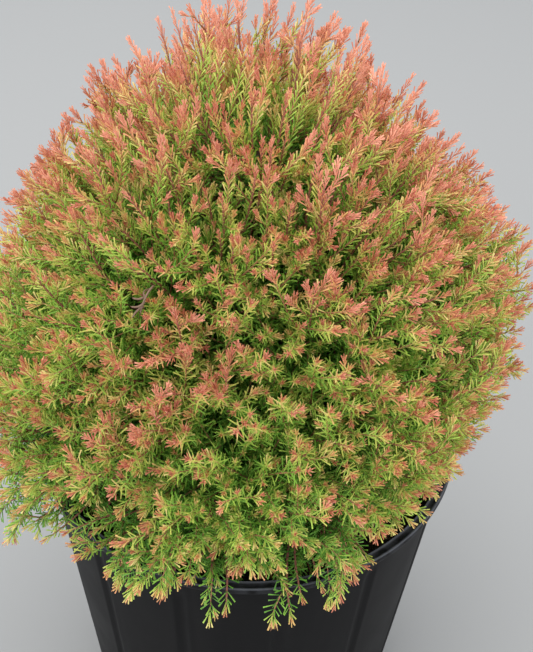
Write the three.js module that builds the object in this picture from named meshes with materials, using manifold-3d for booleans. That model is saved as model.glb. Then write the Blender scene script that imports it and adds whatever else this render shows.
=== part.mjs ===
// A globe-shaped eastern arborvitae with soft needle foliage, in its nursery pot.
// Millimetres, +Z up. The origin is the middle of the pot's underside, and the front is -Y.
// The crown is divided into cells round one fork point on the trunk. Each cell holds one mass
// of foliage: a stem, a core, and leading shoots with sprays of needles, grown by one rule.

import * as THREE from "three";
import { mergeVertices } from "three/addons/utils/BufferGeometryUtils.js";
import Module from "manifold-3d";

const wasm = await Module();
wasm.setup();

// Pot
const POT_HEIGHT = 280;
const RIM_RADIUS = 152;
const FOOT_RADIUS = 124;
const LIP_WIDTH = 5;
const LIP_HEIGHT = 5;
const POT_WALL = 2.8;
const POT_FLOOR = 4;
const PANEL_COUNT = 14;
const FIRST_GROOVE = -79.5;
const GROOVE_DEPTH = 1.6;
const GROOVE_WIDTH = 7;
const GROOVE_BELOW_RIM = 18;
const GROOVE_ABOVE_FOOT = 10;
const GROOVE_FADE = 6;
const FOOT_CHAMFER = 2;
const LIP_CHAMFER = 1;
const MOUTH_CHAMFER = 2;
const DRAIN_HOLES = 6;
const DRAIN_RADIUS = 7;
const DRAIN_CIRCLE = 98;
const DRAIN_SIDES = 10;

// Soil
const SOIL_BELOW_RIM = 24;
const SOIL_FALL = 5;
const SOIL_SHOULDER = 0.7;
const SHOULDER_FALL = 0.3;

// Trunk and boughs
const FORK_HEIGHT = 300;
const TRUNK_RADIUS = 9;
const FLARE_RADIUS = 15;
const FLARE_LENGTH = 0.06;
const TRUNK_TIP_RADIUS = 3.2;
const TRUNK_LEAN = 5;
const TRUNK_FOOT = 14;
const TRUNK_RISE = 10;
const TRUNK_CUT = 6;
const TRUNK_SIDES = 8;
const TRUNK_STEPS = 12;
const BOUGH_TIP_RADIUS = 2.2;
const BOUGH_SIDES = 5;
const BOUGH_STEPS = 4;

// How far the trunk's middle line strays to the right and back, as shares of its lean
const TRUNK_SWAY = [[-1, 0.6], [-0.8, 0.5], [0, 0], [0.7, -0.4]];

// Crown
const CROWN_CENTRE = 360;
const CROWN_RADIUS = 190;
const CROWN_RISE = 247;
const CROWN_DROP = 98;
const SHOULDER_POWER = 1.62;
const SKIRT_POWER = 6;

// Swellings and hollows of the crown: azimuth, elevation, share of the radius, width in degrees
const CROWN_LUMPS = [
  { azimuth: 50, elevation: 46, swell: -0.09, width: 22 },
  { azimuth: 13, elevation: 17, swell: 0.07, width: 20 },
  { azimuth: 150, elevation: 35, swell: -0.03, width: 25 },
  { azimuth: 190, elevation: 4, swell: 0.05, width: 22 },
  { azimuth: -32, elevation: -16, swell: -0.16, width: 27 },
  { azimuth: -57, elevation: -26, swell: -0.07, width: 14 },
  { azimuth: -126, elevation: -24, swell: -0.12, width: 8 },
  { azimuth: -152, elevation: -20, swell: 0.04, width: 10 },
  { azimuth: -151, elevation: -34, swell: 0.18, width: 12 },
  { azimuth: -92, elevation: -14, swell: -0.18, width: 6 },
  { azimuth: -108, elevation: -22, swell: 0.02, width: 18 },
  { azimuth: -133, elevation: -45, swell: 0.6, width: 8 },
  { azimuth: -120, elevation: -39, swell: 0.24, width: 7 },
  { azimuth: -96, elevation: -38, swell: 0.24, width: 7 },
  { azimuth: -75, elevation: -34, swell: 0.17, width: 7 },
];

// Rings of masses, from the top down. Elevations are seen from the fork point.
const RINGS = [
  { name: "top", count: 1, elevation: 88, turn: 40, entry: 0.52 },
  { name: "upper", count: 5, elevation: 57, turn: 20, entry: 0.46, low: 338, high: 372, thick: 3.6 },
  { name: "middle", count: 7, elevation: 28, turn: 8, entry: 0.43, low: 304, high: 332, thick: 4.2 },
  { name: "lower", count: 8, elevation: 0, turn: 30, entry: 0.42, low: 269, high: 297, thick: 4.6 },
];
const RING_TILT = 6;
const RING_CLIMB = 0.618034;

// Shoots
const LEADER_COUNT = 170;
const LOWEST_SHOOT = -14;
const LEADER_JITTER = 0.3;
const GATHER = 0.04;
const SHORTEST_SHOOT = 0.93;
const TIP_RUN = 0.34;
const UPTURN = 1.1;
const UPTURN_FROM = -0.1;
const UPTURN_FULL = 0.4;
const UPTURN_STEPS = 6;
const LIFT = 4;
const LIFT_STEPS = 6;
const TIP_LIFT = 0.5;
const LENGTH_SEED = 1000;
const LEADER_STATIONS = 16;
const LEADER_RADIUS = 2.2;
const LEADER_TAPER = 0.5;
const PLUME_START = 0.46;
const SPRAY_COUNT = 5;
const SPRAY_ANGLE = 38;
const SPRAY_RISE = 0.12;
const SPRAY_LENGTH = 35;
const SPRAY_TAPER = 0.6;
const SPRAY_SIZES = [1, 0.75, 0.5];
const SPRAY_PROBES = [1, 0.8, 0.6, 0.4, 0.2];
const CROWN_EDGE = 1.02;

// Cores
const CORE_AFTER_ENTRY = 0.04;
const SHOOTS_AFTER_ENTRY = 0.12;
const CORE_OUTER = 0.74;
const CORE_ROUGHNESS = 0.16;
const CORE_SPREAD = 31;
const CORE_SEED = new THREE.Vector3(7, 13, 17);

// Clearances
const GAP = 0.3;
const CELL_GAP = 0.6;
const CORE_GAP = 4;
const POT_GAP = 1.2;
const SPRAY_POT_GAP = 3.5;

const GOLDEN_ANGLE = Math.PI * (3 - Math.sqrt(5));
const UP = new THREE.Vector3(0, 0, 1);
const AHEAD = new THREE.Vector3(0, 1, 0);
const FORK = new THREE.Vector3(0, 0, FORK_HEIGHT);
const CROWN_MIDDLE = new THREE.Vector3(0, 0, CROWN_CENTRE);
const SOIL_TOP = POT_HEIGHT - SOIL_BELOW_RIM;

const COLOURS = {
  pot: { color: 0x2a2b2c, roughness: 0.6, metalness: 0 },
  soil: { color: 0x3a2c22, roughness: 0.95, metalness: 0 },
  bark: { color: 0x6b4638, roughness: 0.9, metalness: 0 },
  top: { color: 0xc97a55, roughness: 0.7, metalness: 0 },
  upper: { color: 0xb58a4a, roughness: 0.7, metalness: 0 },
  middle: { color: 0x8d9a3f, roughness: 0.7, metalness: 0 },
  lower: { color: 0x6f9440, roughness: 0.7, metalness: 0 },
};

const HALVINGS = 30;

const radians = THREE.MathUtils.degToRad;

// A number from 0 to 1 that looks random and is the same each time for the same seed.
function chance(seed) {
  const wave = Math.sin(seed * 12.9898 + 4.1414) * 43758.5453;
  return wave - Math.floor(wave);
}

// The number from low to high up to which the test is true, found by halving.
function lastWhere(test, low, high) {
  let near = low;
  let far = high;
  for (let i = 0; i < HALVINGS; i += 1) {
    const middle = (near + far) / 2;
    if (test(middle)) {
      near = middle;
    } else {
      far = middle;
    }
  }
  return near;
}

function bearing(azimuth, elevation) {
  const level = Math.cos(radians(elevation));
  return new THREE.Vector3(
    level * Math.cos(radians(azimuth)),
    level * Math.sin(radians(azimuth)),
    Math.sin(radians(elevation)),
  );
}

// Joining and cutting

function positionsOnly(geometry) {
  const bare = new THREE.BufferGeometry();
  bare.setAttribute("position", geometry.getAttribute("position"));
  bare.setIndex(geometry.getIndex());
  return mergeVertices(bare, 1e-5);
}

function toSolid(geometry) {
  const merged = positionsOnly(geometry);
  const corners = merged.getIndex().array;
  const places = merged.getAttribute("position").array;
  const kept = [];
  for (let i = 0; i < corners.length; i += 3) {
    const [a, b, c] = [corners[i], corners[i + 1], corners[i + 2]];
    if (a !== b && b !== c && c !== a) {
      kept.push(a, b, c);
    }
  }
  return new wasm.Manifold(new wasm.Mesh({
    numProp: 3,
    vertProperties: new Float32Array(places),
    triVerts: new Uint32Array(kept),
  }));
}

function toGeometry(solid) {
  const mesh = solid.getMesh();
  const geometry = new THREE.BufferGeometry();
  geometry.setAttribute("position", new THREE.BufferAttribute(mesh.vertProperties, 3));
  geometry.setIndex(new THREE.BufferAttribute(mesh.triVerts, 1));
  geometry.computeVertexNormals();
  return geometry;
}

// Joins the pieces and keeps the largest shell, so a loose scrap or a sealed hollow goes.
function fuse(geometries) {
  const joined = geometries.map(toSolid).reduce((whole, piece) => whole.add(piece));
  const shells = joined.decompose();
  shells.sort((a, b) => b.volume() - a.volume());
  return shells[0];
}

// Shapes

// A limb along a curve: a closed cylinder whose rings are carried along it and sized by radiusAt.
function limb(curve, radiusAt, sides, steps) {
  const geometry = new THREE.CylinderGeometry(1, 1, 1, sides, steps);
  const places = geometry.getAttribute("position");
  const frames = curve.computeFrenetFrames(steps, false);
  const point = new THREE.Vector3();
  for (let i = 0; i < places.count; i += 1) {
    const along = places.getY(i) + 0.5;
    const ring = Math.round(along * steps);
    const side = new THREE.Vector3().crossVectors(frames.normals[ring], frames.tangents[ring]);
    const radius = radiusAt(along);
    point.copy(curve.getPoint(along));
    point.addScaledVector(frames.normals[ring], places.getX(i) * radius);
    point.addScaledVector(side, places.getZ(i) * radius);
    places.setXYZ(i, point.x, point.y, point.z);
  }
  return geometry;
}

// The two directions square to a curve at a point, of which the first is level where it can be.
function squareTo(tangent) {
  const guide = Math.abs(tangent.z) < 0.9 ? UP : AHEAD;
  const level = new THREE.Vector3().crossVectors(guide, tangent).normalize();
  const rising = new THREE.Vector3().crossVectors(tangent, level);
  return { level, rising };
}

// Pot and soil

// Four columns to a panel: the two edges and the bottom of the groove, and the panel's middle.
const COLUMNS_PER_PANEL = 4;
const GROOVE_BOTTOM = 1;

// A turned shape with grooves. The profile's points are radius, height and depth of the groove.
function turned(profile) {
  const columns = PANEL_COUNT * COLUMNS_PER_PANEL;
  const panel = (2 * Math.PI) / PANEL_COUNT;
  const edge = GROOVE_WIDTH / 2 / RIM_RADIUS;
  const offsets = [-edge, 0, edge, panel / 2];
  const outline = profile.map(([radius, height]) => new THREE.Vector2(radius, height));
  const geometry = new THREE.LatheGeometry(outline, columns);
  geometry.rotateX(Math.PI / 2);
  const places = geometry.getAttribute("position");
  for (let i = 0; i < places.count; i += 1) {
    const [radius, height, depth = 0] = profile[i % profile.length];
    const column = Math.floor(i / profile.length) % columns;
    const part = column % COLUMNS_PER_PANEL;
    const groove = radians(FIRST_GROOVE) + Math.floor(column / COLUMNS_PER_PANEL) * panel;
    const angle = groove + offsets[part];
    const sunk = part === GROOVE_BOTTOM ? radius - depth : radius;
    places.setXYZ(i, sunk * Math.cos(angle), sunk * Math.sin(angle), height);
  }
  return geometry;
}

const WALL_TOP = POT_HEIGHT - LIP_HEIGHT;
const WALL_TOP_RADIUS = RIM_RADIUS - LIP_WIDTH;

function wallRadius(height) {
  return FOOT_RADIUS + (WALL_TOP_RADIUS - FOOT_RADIUS) * (height / WALL_TOP);
}

function insideRadius(height) {
  return wallRadius(height) - POT_WALL;
}

function potShell() {
  const grooveTop = POT_HEIGHT - GROOVE_BELOW_RIM;
  const outer = (height, depth = 0) => [wallRadius(height), height, depth];
  const inner = (height) => [insideRadius(height), height];
  return turned([
    [0, 0],
    [FOOT_RADIUS - FOOT_CHAMFER, 0],
    outer(FOOT_CHAMFER),
    outer(GROOVE_ABOVE_FOOT),
    outer(GROOVE_ABOVE_FOOT + GROOVE_FADE, GROOVE_DEPTH),
    outer(grooveTop - GROOVE_FADE, GROOVE_DEPTH),
    outer(grooveTop),
    outer(WALL_TOP - LIP_CHAMFER),
    [RIM_RADIUS, WALL_TOP],
    [RIM_RADIUS, POT_HEIGHT - LIP_CHAMFER],
    [RIM_RADIUS - LIP_CHAMFER, POT_HEIGHT],
    [insideRadius(POT_HEIGHT) + LIP_CHAMFER, POT_HEIGHT],
    inner(POT_HEIGHT - MOUTH_CHAMFER),
    inner(POT_FLOOR),
    [0, POT_FLOOR],
  ]);
}

function pot() {
  let shell = toSolid(potShell());
  for (let i = 0; i < DRAIN_HOLES; i += 1) {
    const drill = new THREE.CylinderGeometry(DRAIN_RADIUS, DRAIN_RADIUS, 4 * POT_FLOOR, DRAIN_SIDES);
    drill.rotateX(Math.PI / 2);
    const angle = (2 * Math.PI * (i + 0.5)) / DRAIN_HOLES;
    drill.translate(DRAIN_CIRCLE * Math.cos(angle), DRAIN_CIRCLE * Math.sin(angle), POT_FLOOR / 2);
    shell = shell.subtract(toSolid(drill));
  }
  return shell;
}

function soil() {
  const bottom = POT_FLOOR + GAP;
  const edge = SOIL_TOP - SOIL_FALL;
  return toSolid(turned([
    [0, bottom],
    [insideRadius(bottom) - GAP, bottom],
    [insideRadius(edge) - GAP, edge],
    [SOIL_SHOULDER * insideRadius(edge), SOIL_TOP - SHOULDER_FALL * SOIL_FALL],
    [2 * FLARE_RADIUS, SOIL_TOP],
    [0, SOIL_TOP],
  ]));
}

// Crown

const lumps = CROWN_LUMPS.map((lump) => ({
  direction: bearing(lump.azimuth, lump.elevation),
  swell: lump.swell,
  spread: 1 - Math.cos(radians(lump.width)),
}));

// The crown's radius from its middle: a superellipse, fuller below, with the lumps laid on.
function crownRadius(direction) {
  const level = Math.hypot(direction.x, direction.y);
  const rising = direction.z >= 0;
  const power = rising ? SHOULDER_POWER : SKIRT_POWER;
  const height = rising ? CROWN_RISE : CROWN_DROP;
  const sum = (level / CROWN_RADIUS) ** power + (Math.abs(direction.z) / height) ** power;
  const swell = lumps.reduce((total, lump) => (
    total + lump.swell * Math.exp((direction.dot(lump.direction) - 1) / lump.spread)
  ), 1);
  return swell * sum ** (-1 / power);
}

function insideCrown(point, share) {
  const offset = point.clone().sub(CROWN_MIDDLE);
  const distance = offset.length();
  return distance < share * crownRadius(offset.divideScalar(distance));
}

// The distance from the fork to the crown's surface in a direction.
function reach(direction) {
  const inside = (distance) => insideCrown(FORK.clone().addScaledVector(direction, distance), 1);
  return lastWhere(inside, 0, 2 * CROWN_RISE);
}

// One entry for each mass: its name, the direction of its middle and how its bough runs.
function planMasses() {
  const plan = [];
  for (const ring of RINGS) {
    for (let i = 0; i < ring.count; i += 1) {
      const tilt = ring.count > 1 ? RING_TILT * (chance(plan.length + 0.5) - 0.5) : 0;
      const direction = bearing(ring.turn + (360 * i) / ring.count, ring.elevation + tilt);
      const climb = (i * RING_CLIMB) % 1;
      plan.push({
        ring,
        name: ring.count > 1 ? `${ring.name}_${i + 1}` : ring.name,
        direction,
        reach: reach(direction),
        start: ring.count > 1 ? ring.low + (ring.high - ring.low) * climb : 0,
      });
    }
  }
  return plan;
}

const masses = planMasses();

for (const mass of masses) {
  mass.walls = masses.filter((other) => other !== mass).map((other) => (
    other.direction.clone().sub(mass.direction).normalize()
  ));
  mass.entry = FORK.clone().addScaledVector(mass.direction, mass.ring.entry * mass.reach);
  mass.root = mass.entry.clone().addScaledVector(mass.direction, SHOOTS_AFTER_ENTRY * mass.reach);
}

// True where the point is nearer this mass's middle than any other's, by the given gap.
function insideCell(point, mass, gap) {
  const offset = point.clone().sub(FORK);
  return mass.walls.every((wall) => offset.dot(wall) < -gap);
}

function clearOfPot(point, gap) {
  const radius = Math.hypot(point.x, point.y);
  if (point.z > POT_HEIGHT + gap || radius > RIM_RADIUS + gap) {
    return true;
  }
  return radius < insideRadius(point.z) - gap && point.z > SOIL_TOP + gap;
}

function allowed(point, mass, gap) {
  return insideCell(point, mass, CELL_GAP) && clearOfPot(point, gap);
}

// Trunk and boughs

const trunkTip = masses[0].entry.clone().addScaledVector(masses[0].direction, -GAP);
const trunkHeights = [
  SOIL_TOP + GAP,
  SOIL_TOP + TRUNK_FOOT,
  FORK_HEIGHT + TRUNK_RISE,
  (FORK_HEIGHT + trunkTip.z) / 2 + TRUNK_RISE,
];
const trunkPoints = TRUNK_SWAY.map(([right, back], i) => (
  new THREE.Vector3(right * TRUNK_LEAN, back * TRUNK_LEAN, trunkHeights[i])
));
const trunkCurve = new THREE.CatmullRomCurve3([...trunkPoints, trunkTip]);

function trunkRadius(along, extra) {
  const flare = (FLARE_RADIUS - TRUNK_RADIUS) * Math.exp(-along / FLARE_LENGTH);
  return extra + flare + TRUNK_RADIUS + (TRUNK_TIP_RADIUS - TRUNK_RADIUS) * along;
}

// The trunk's lowest ring is level, so that it is cut flat at the soil.
function trunkSolid(extra) {
  const geometry = limb(trunkCurve, (along) => trunkRadius(along, extra), TRUNK_SIDES, TRUNK_STEPS);
  const places = geometry.getAttribute("position");
  for (let i = 0; i < places.count; i += 1) {
    if (places.getZ(i) < SOIL_TOP + TRUNK_CUT) {
      places.setZ(i, SOIL_TOP + GAP);
    }
  }
  return toSolid(geometry);
}

// The point of the trunk's middle line at a height.
function trunkMiddle(height) {
  const along = lastWhere((share) => trunkCurve.getPoint(share).z < height, 0, 1);
  return trunkCurve.getPoint(along);
}

function boughCurve(mass) {
  const start = trunkMiddle(mass.start);
  const length = start.distanceTo(mass.entry);
  const bend = mass.entry.clone().addScaledVector(mass.direction, -0.5 * length);
  const end = mass.entry.clone().addScaledVector(mass.direction, -GAP);
  return new THREE.QuadraticBezierCurve3(start, bend, end);
}

function bough(mass, trunkRoom) {
  const radiusAt = (along) => THREE.MathUtils.lerp(mass.ring.thick, BOUGH_TIP_RADIUS, along);
  const shape = limb(boughCurve(mass), radiusAt, BOUGH_SIDES, BOUGH_STEPS);
  const pieces = toSolid(shape).subtract(trunkRoom).decompose();
  pieces.sort((a, b) => b.volume() - a.volume());
  return pieces[0];
}

// Foliage

// A leader's direction from the fork: an even spiral over the crown, gathered to its mass.
function leaderDirection(index) {
  const lowest = Math.sin(radians(LOWEST_SHOOT));
  const rise = 1 - (1 - lowest) * ((index + 0.5) / LEADER_COUNT);
  const turn = index * GOLDEN_ANGLE + LEADER_JITTER * (chance(index) - 0.5);
  const level = Math.sqrt(1 - rise * rise);
  return new THREE.Vector3(level * Math.cos(turn), level * Math.sin(turn), rise);
}

// Every shoot leads from its mass's stem, out past the core, and turns up towards its tip.
function planLeader(index) {
  const direction = leaderDirection(index);
  const mass = masses.reduce((best, other) => (
    other.direction.dot(direction) > best.direction.dot(direction) ? other : best
  ));
  direction.addScaledVector(mass.direction, GATHER).normalize();
  const share = SHORTEST_SHOOT + (1 - SHORTEST_SHOOT) * chance(index + LENGTH_SEED);
  const length = share * reach(direction);
  const tip = FORK.clone().addScaledVector(direction, length);
  const rise = (direction.z - UPTURN_FROM) / (UPTURN_FULL - UPTURN_FROM);
  const upturn = UPTURN * THREE.MathUtils.clamp(rise, 0, 1);
  return { index, mass, direction, length, tip, upturn };
}

// The shoot's curve from its mass's stem, or nothing where it can't keep to its cell. Its upturn
// is eased by steps, and then its bend and tip are lifted until it passes over the pot's lip.
function leaderCurve(leader) {
  for (let step = 0; step <= UPTURN_STEPS + LIFT_STEPS; step += 1) {
    const upturn = leader.upturn * Math.max(0, 1 - step / UPTURN_STEPS);
    const lift = LIFT * Math.max(0, step - UPTURN_STEPS);
    const heading = leader.direction.clone().addScaledVector(UP, upturn).normalize();
    const bend = leader.tip.clone().addScaledVector(heading, -TIP_RUN * leader.length);
    bend.addScaledVector(UP, lift);
    const tip = leader.tip.clone().addScaledVector(UP, TIP_LIFT * lift);
    const curve = new THREE.QuadraticBezierCurve3(leader.mass.root, bend, tip);
    const stations = curve.getPoints(LEADER_STATIONS);
    const gap = LEADER_RADIUS + POT_GAP;
    if (stations.every((point) => allowed(point, leader.mass, gap))) {
      return curve;
    }
  }
  return null;
}

// The place and reach of one side spray of a shoot. They turn round it by the golden angle.
function spray(leader, curve, order) {
  const along = PLUME_START + ((1 - PLUME_START) * order) / SPRAY_COUNT;
  const tangent = curve.getTangent(along);
  const { level, rising } = squareTo(tangent);
  const turn = leader.index - order * GOLDEN_ANGLE;
  const out = level.multiplyScalar(Math.cos(turn)).addScaledVector(rising, Math.sin(turn));
  const direction = tangent.clone().multiplyScalar(Math.cos(radians(SPRAY_ANGLE)));
  direction.addScaledVector(out, Math.sin(radians(SPRAY_ANGLE)));
  direction.addScaledVector(UP, SPRAY_RISE).normalize();
  const length = SPRAY_LENGTH * (1 - (SPRAY_TAPER * order) / SPRAY_COUNT);
  return { root: curve.getPoint(along), direction, length };
}

// The end of a side spray, drawn in until it keeps to its cell, or nothing where it can't.
function sprayTip({ root, direction, length }, mass) {
  const fits = (point) => (
    allowed(point, mass, SPRAY_POT_GAP) && insideCrown(point, CROWN_EDGE)
  );
  for (const size of SPRAY_SIZES) {
    const probes = SPRAY_PROBES.map((share) => (
      root.clone().addScaledVector(direction, share * size * length)
    ));
    if (probes.every(fits)) {
      return probes[0];
    }
  }
  return null;
}

// A shoot with its sprays: a three-sided twig to a point, twisted a little at each ring, so
// that one corner of each ring in turn is drawn out to be the toothed blade of a side spray.
function plume(leader, curve) {
  const rings = SPRAY_COUNT + 1;
  const geometry = new THREE.CylinderGeometry(1, 1, 1, 3, rings);
  const places = geometry.getAttribute("position");
  const third = (2 * Math.PI) / 3;
  const tips = [null];
  for (let order = 0; order < SPRAY_COUNT; order += 1) {
    tips.push(sprayTip(spray(leader, curve, order), leader.mass));
  }
  tips.push(curve.v2);
  for (let i = 0; i < places.count; i += 1) {
    const ring = Math.round((places.getY(i) + 0.5) * rings);
    const middle = Math.hypot(places.getX(i), places.getZ(i)) < 0.5;
    const column = (Math.round(Math.atan2(places.getX(i), places.getZ(i)) / third) + 3) % 3;
    const along = ring === 0 ? 0 : PLUME_START + ((1 - PLUME_START) * (ring - 1)) / SPRAY_COUNT;
    const order = ring - 1;
    const { level, rising } = squareTo(curve.getTangent(along));
    const turn = leader.index - order * GOLDEN_ANGLE + third * (column + order);
    const radius = middle ? 0 : LEADER_RADIUS * (1 - LEADER_TAPER * along);
    const point = curve.getPoint(along);
    point.addScaledVector(level, radius * Math.cos(turn));
    point.addScaledVector(rising, radius * Math.sin(turn));
    const drawnOut = !middle && (column + order) % 3 === 0 && tips[ring];
    if (drawnOut || ring === rings) {
      point.copy(tips[ring]);
    }
    places.setXYZ(i, point.x, point.y, point.z);
  }
  return geometry;
}

// The core: a ball of small facets, each corner moved out to its share of the mass's cell.
function core(mass) {
  const geometry = new THREE.IcosahedronGeometry(1, 1);
  const places = geometry.getAttribute("position");
  const { level, rising } = squareTo(mass.direction);
  const inner = mass.ring.entry + CORE_AFTER_ENTRY;
  const middle = (CORE_OUTER + inner) / 2;
  const half = (CORE_OUTER - inner) / 2;
  const corner = new THREE.Vector3();
  for (let i = 0; i < places.count; i += 1) {
    corner.fromBufferAttribute(places, i);
    const rough = 1 + CORE_ROUGHNESS * (chance(corner.dot(CORE_SEED) + mass.start) - 0.5);
    const distance = mass.reach * (middle + half * corner.z) * rough;
    const lean = level.clone().multiplyScalar(corner.x).addScaledVector(rising, corner.y);
    let spread = Math.tan(radians(CORE_SPREAD));
    for (const wall of mass.walls) {
      const slope = lean.dot(wall);
      if (slope > 0) {
        spread = Math.min(spread, (-CORE_GAP / distance - mass.direction.dot(wall)) / slope);
      }
    }
    const point = mass.direction.clone().addScaledVector(lean, spread);
    point.multiplyScalar(distance).add(FORK);
    point.z = Math.max(point.z, POT_HEIGHT + POT_GAP);
    places.setXYZ(i, point.x, point.y, point.z);
  }
  return geometry;
}

function stem(mass) {
  return limb(new THREE.LineCurve3(mass.entry, mass.root), () => BOUGH_TIP_RADIUS, BOUGH_SIDES, 1);
}

const leaders = Array.from({ length: LEADER_COUNT }, (_, index) => planLeader(index));

function foliage(mass) {
  const pieces = [core(mass), stem(mass)];
  for (const leader of leaders.filter((one) => one.mass === mass)) {
    const curve = leaderCurve(leader);
    if (curve) {
      pieces.push(plume(leader, curve));
    }
  }
  return fuse(pieces);
}

// Assembly

const arborvitae = new THREE.Group();

function place(name, solid, colour) {
  const mesh = new THREE.Mesh(toGeometry(solid), new THREE.MeshStandardMaterial(COLOURS[colour]));
  mesh.name = name;
  arborvitae.add(mesh);
}

place("pot", pot(), "pot");
place("soil", soil(), "soil");
place("trunk", trunkSolid(0), "bark");

const trunkRoom = trunkSolid(GAP);
for (const mass of masses) {
  if (mass.ring.count > 1) {
    place(`bough_${mass.name}`, bough(mass, trunkRoom), "bark");
  }
  place(`foliage_${mass.name}`, foliage(mass), mass.ring.name);
}

export default arborvitae;
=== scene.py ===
"""A globe-shaped eastern arborvitae with soft needle foliage, in its nursery pot.

Metres, +Z up. The origin is the middle of the pot's underside, and the front is -Y.
The crown grows by the rule of its solids: leading shoots are spread evenly over the crown, each
from the stem of its mass, and side shoots turn round them by the golden angle. The rule goes on
here to finer twigs and to single needles, which get their colours by spray.
"""

import math
from types import SimpleNamespace

import bpy
import numpy as np
from mathutils import Euler, Matrix, Vector


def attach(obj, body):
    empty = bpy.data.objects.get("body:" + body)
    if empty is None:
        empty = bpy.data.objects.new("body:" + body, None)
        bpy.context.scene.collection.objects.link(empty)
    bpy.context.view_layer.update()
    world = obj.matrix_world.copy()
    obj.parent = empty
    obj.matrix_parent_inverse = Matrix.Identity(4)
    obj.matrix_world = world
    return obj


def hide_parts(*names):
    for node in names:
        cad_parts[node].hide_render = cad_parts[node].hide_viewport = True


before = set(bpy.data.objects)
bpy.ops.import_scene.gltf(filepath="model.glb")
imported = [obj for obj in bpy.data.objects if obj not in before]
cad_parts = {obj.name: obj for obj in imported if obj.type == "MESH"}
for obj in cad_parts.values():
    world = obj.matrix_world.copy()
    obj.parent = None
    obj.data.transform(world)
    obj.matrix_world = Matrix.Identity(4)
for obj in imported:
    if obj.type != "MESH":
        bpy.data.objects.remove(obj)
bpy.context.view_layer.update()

bl_info = {
    "name": "Potted arborvitae",
    "version": (1, 0, 0),
    "blender": (4, 5, 0),
    "location": "3D View > Sidebar > Arborvitae",
    "description": "Makes the pot, soil, bark, twigs, needles and stage of a potted arborvitae",
    "category": "Add Mesh",
}

# Pot and soil, as in the solids
POT_HEIGHT = 0.280
RIM_RADIUS = 0.152
FOOT_RADIUS = 0.124
LIP_WIDTH = 0.005
LIP_HEIGHT = 0.005
POT_WALL = 0.0028
POT_FLOOR = 0.004
PANEL_COUNT = 14
FIRST_GROOVE = math.radians(-79.5)
GROOVE_BELOW_RIM = 0.018
GROOVE_ABOVE_FOOT = 0.010
SOIL_BELOW_RIM = 0.024
SOIL_FALL = 0.005
SOIL_TOP = POT_HEIGHT - SOIL_BELOW_RIM
WALL_TOP = POT_HEIGHT - LIP_HEIGHT
WALL_TOP_RADIUS = RIM_RADIUS - LIP_WIDTH

# The pot's finer form: lengths along its section, and the ridge beside a groove in half widths
GROOVE_FADE = 0.006
ROW_STEP = 0.002
BELOW_LIP = 0.0012
CHANNEL_OUTER = 0.0024
CHANNEL_INNER = 0.0022
LIP_INSIDE = 0.004
RIDGE_PLACE = 1.5
RIDGE_WIDTH = 0.35

# The soil's finer form. It lies a little below the solid's top, so that its ripples stay inside
SOIL_SINK = 0.001
SOIL_COLUMNS = 120
SOIL_RINGS = 40
FIRST_RING = 0.02
RIPPLES = SimpleNamespace(octaves=6, scale=90, ratio=1.7, fall=1.4, bend=3, slant=0.7, seed=1.3)

# Bark chips: clear room at the wall and the trunk, and corners along, across and up a chip in
# halves of its length
CHIP_WALL_ROOM = 0.008
CHIP_TRUNK_ROOM = 0.004
CHIP_RAISE = 0.0008
CHIP_TILT = 0.5
SHORTEST_CHIP = 0.4
CHIP_CORNERS = np.array([
    [1, 0, 0], [0, 0.45, 0], [-0.9, 0, 0], [0, -0.5, 0], [0.2, 0, 0.28], [0, 0, -0.28],
])
CHIP_FACES = np.array([
    [0, 1, 4], [1, 2, 4], [2, 3, 4], [3, 0, 4], [1, 0, 5], [2, 1, 5], [3, 2, 5], [0, 3, 5],
])

# Trunk and boughs, as in the solids. The trunk's marks stand beside the axis by shares of its lean
FORK_HEIGHT = 0.300
TRUNK_RADIUS = 0.009
FLARE_RADIUS = 0.015
FLARE_LENGTH = 0.06
TRUNK_TIP_RADIUS = 0.0032
TRUNK_LEAN = 0.005
TRUNK_MARKS = np.array([[-1, 0.6], [-0.8, 0.5], [0, 0], [0.7, -0.4]])
TRUNK_STAND = 0.014
TRUNK_CLIMB = 0.010
BOUGH_TIP_RADIUS = 0.0022
GAP = 0.0003

# Bark: stations along the limbs, the flat foot, and two sets of ridges that wander round a limb
TRUNK_STATIONS = 60
BOUGH_STATIONS = 24
TRUNK_CUT = 0.002
TRUNK_SEED = 0.4
BOUGH_SEED = 1.7
BARK_RUN = 9
WANDER = SimpleNamespace(often=2.1, far=1.3)
FINE_WANDER = SimpleNamespace(often=3.3, far=2.0)
FINE_RIDGES = 0.5

# Crown, as in the solids
CROWN_CENTRE = 0.360
CROWN_RADIUS = 0.190
CROWN_RISE = 0.247
CROWN_DROP = 0.098
SHOULDER_POWER = 1.62
SKIRT_POWER = 6

# Swellings and hollows of the crown: azimuth, elevation, share of the radius, width in degrees
CROWN_LUMPS = [
    (50, 46, -0.09, 22),
    (13, 17, 0.07, 20),
    (150, 35, -0.03, 25),
    (190, 4, 0.05, 22),
    (-32, -16, -0.16, 27),
    (-57, -26, -0.07, 14),
    (-126, -24, -0.12, 8),
    (-152, -20, 0.04, 10),
    (-151, -34, 0.18, 12),
    (-92, -14, -0.18, 6),
    (-108, -22, 0.02, 18),
    (-133, -45, 0.60, 8),
    (-120, -39, 0.24, 7),
    (-96, -38, 0.24, 7),
    (-75, -34, 0.17, 7),
]

# Rings of masses from the top down: count, elevation, turn, entry, low, high and thickness
RINGS = [
    (1, 88, 40, 0.52, 0, 0, 0),
    (5, 57, 20, 0.46, 0.338, 0.372, 0.0036),
    (7, 28, 8, 0.43, 0.304, 0.332, 0.0042),
    (8, 0, 30, 0.42, 0.269, 0.297, 0.0046),
]
RING_TILT = 6
RING_CLIMB = 0.618034

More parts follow.
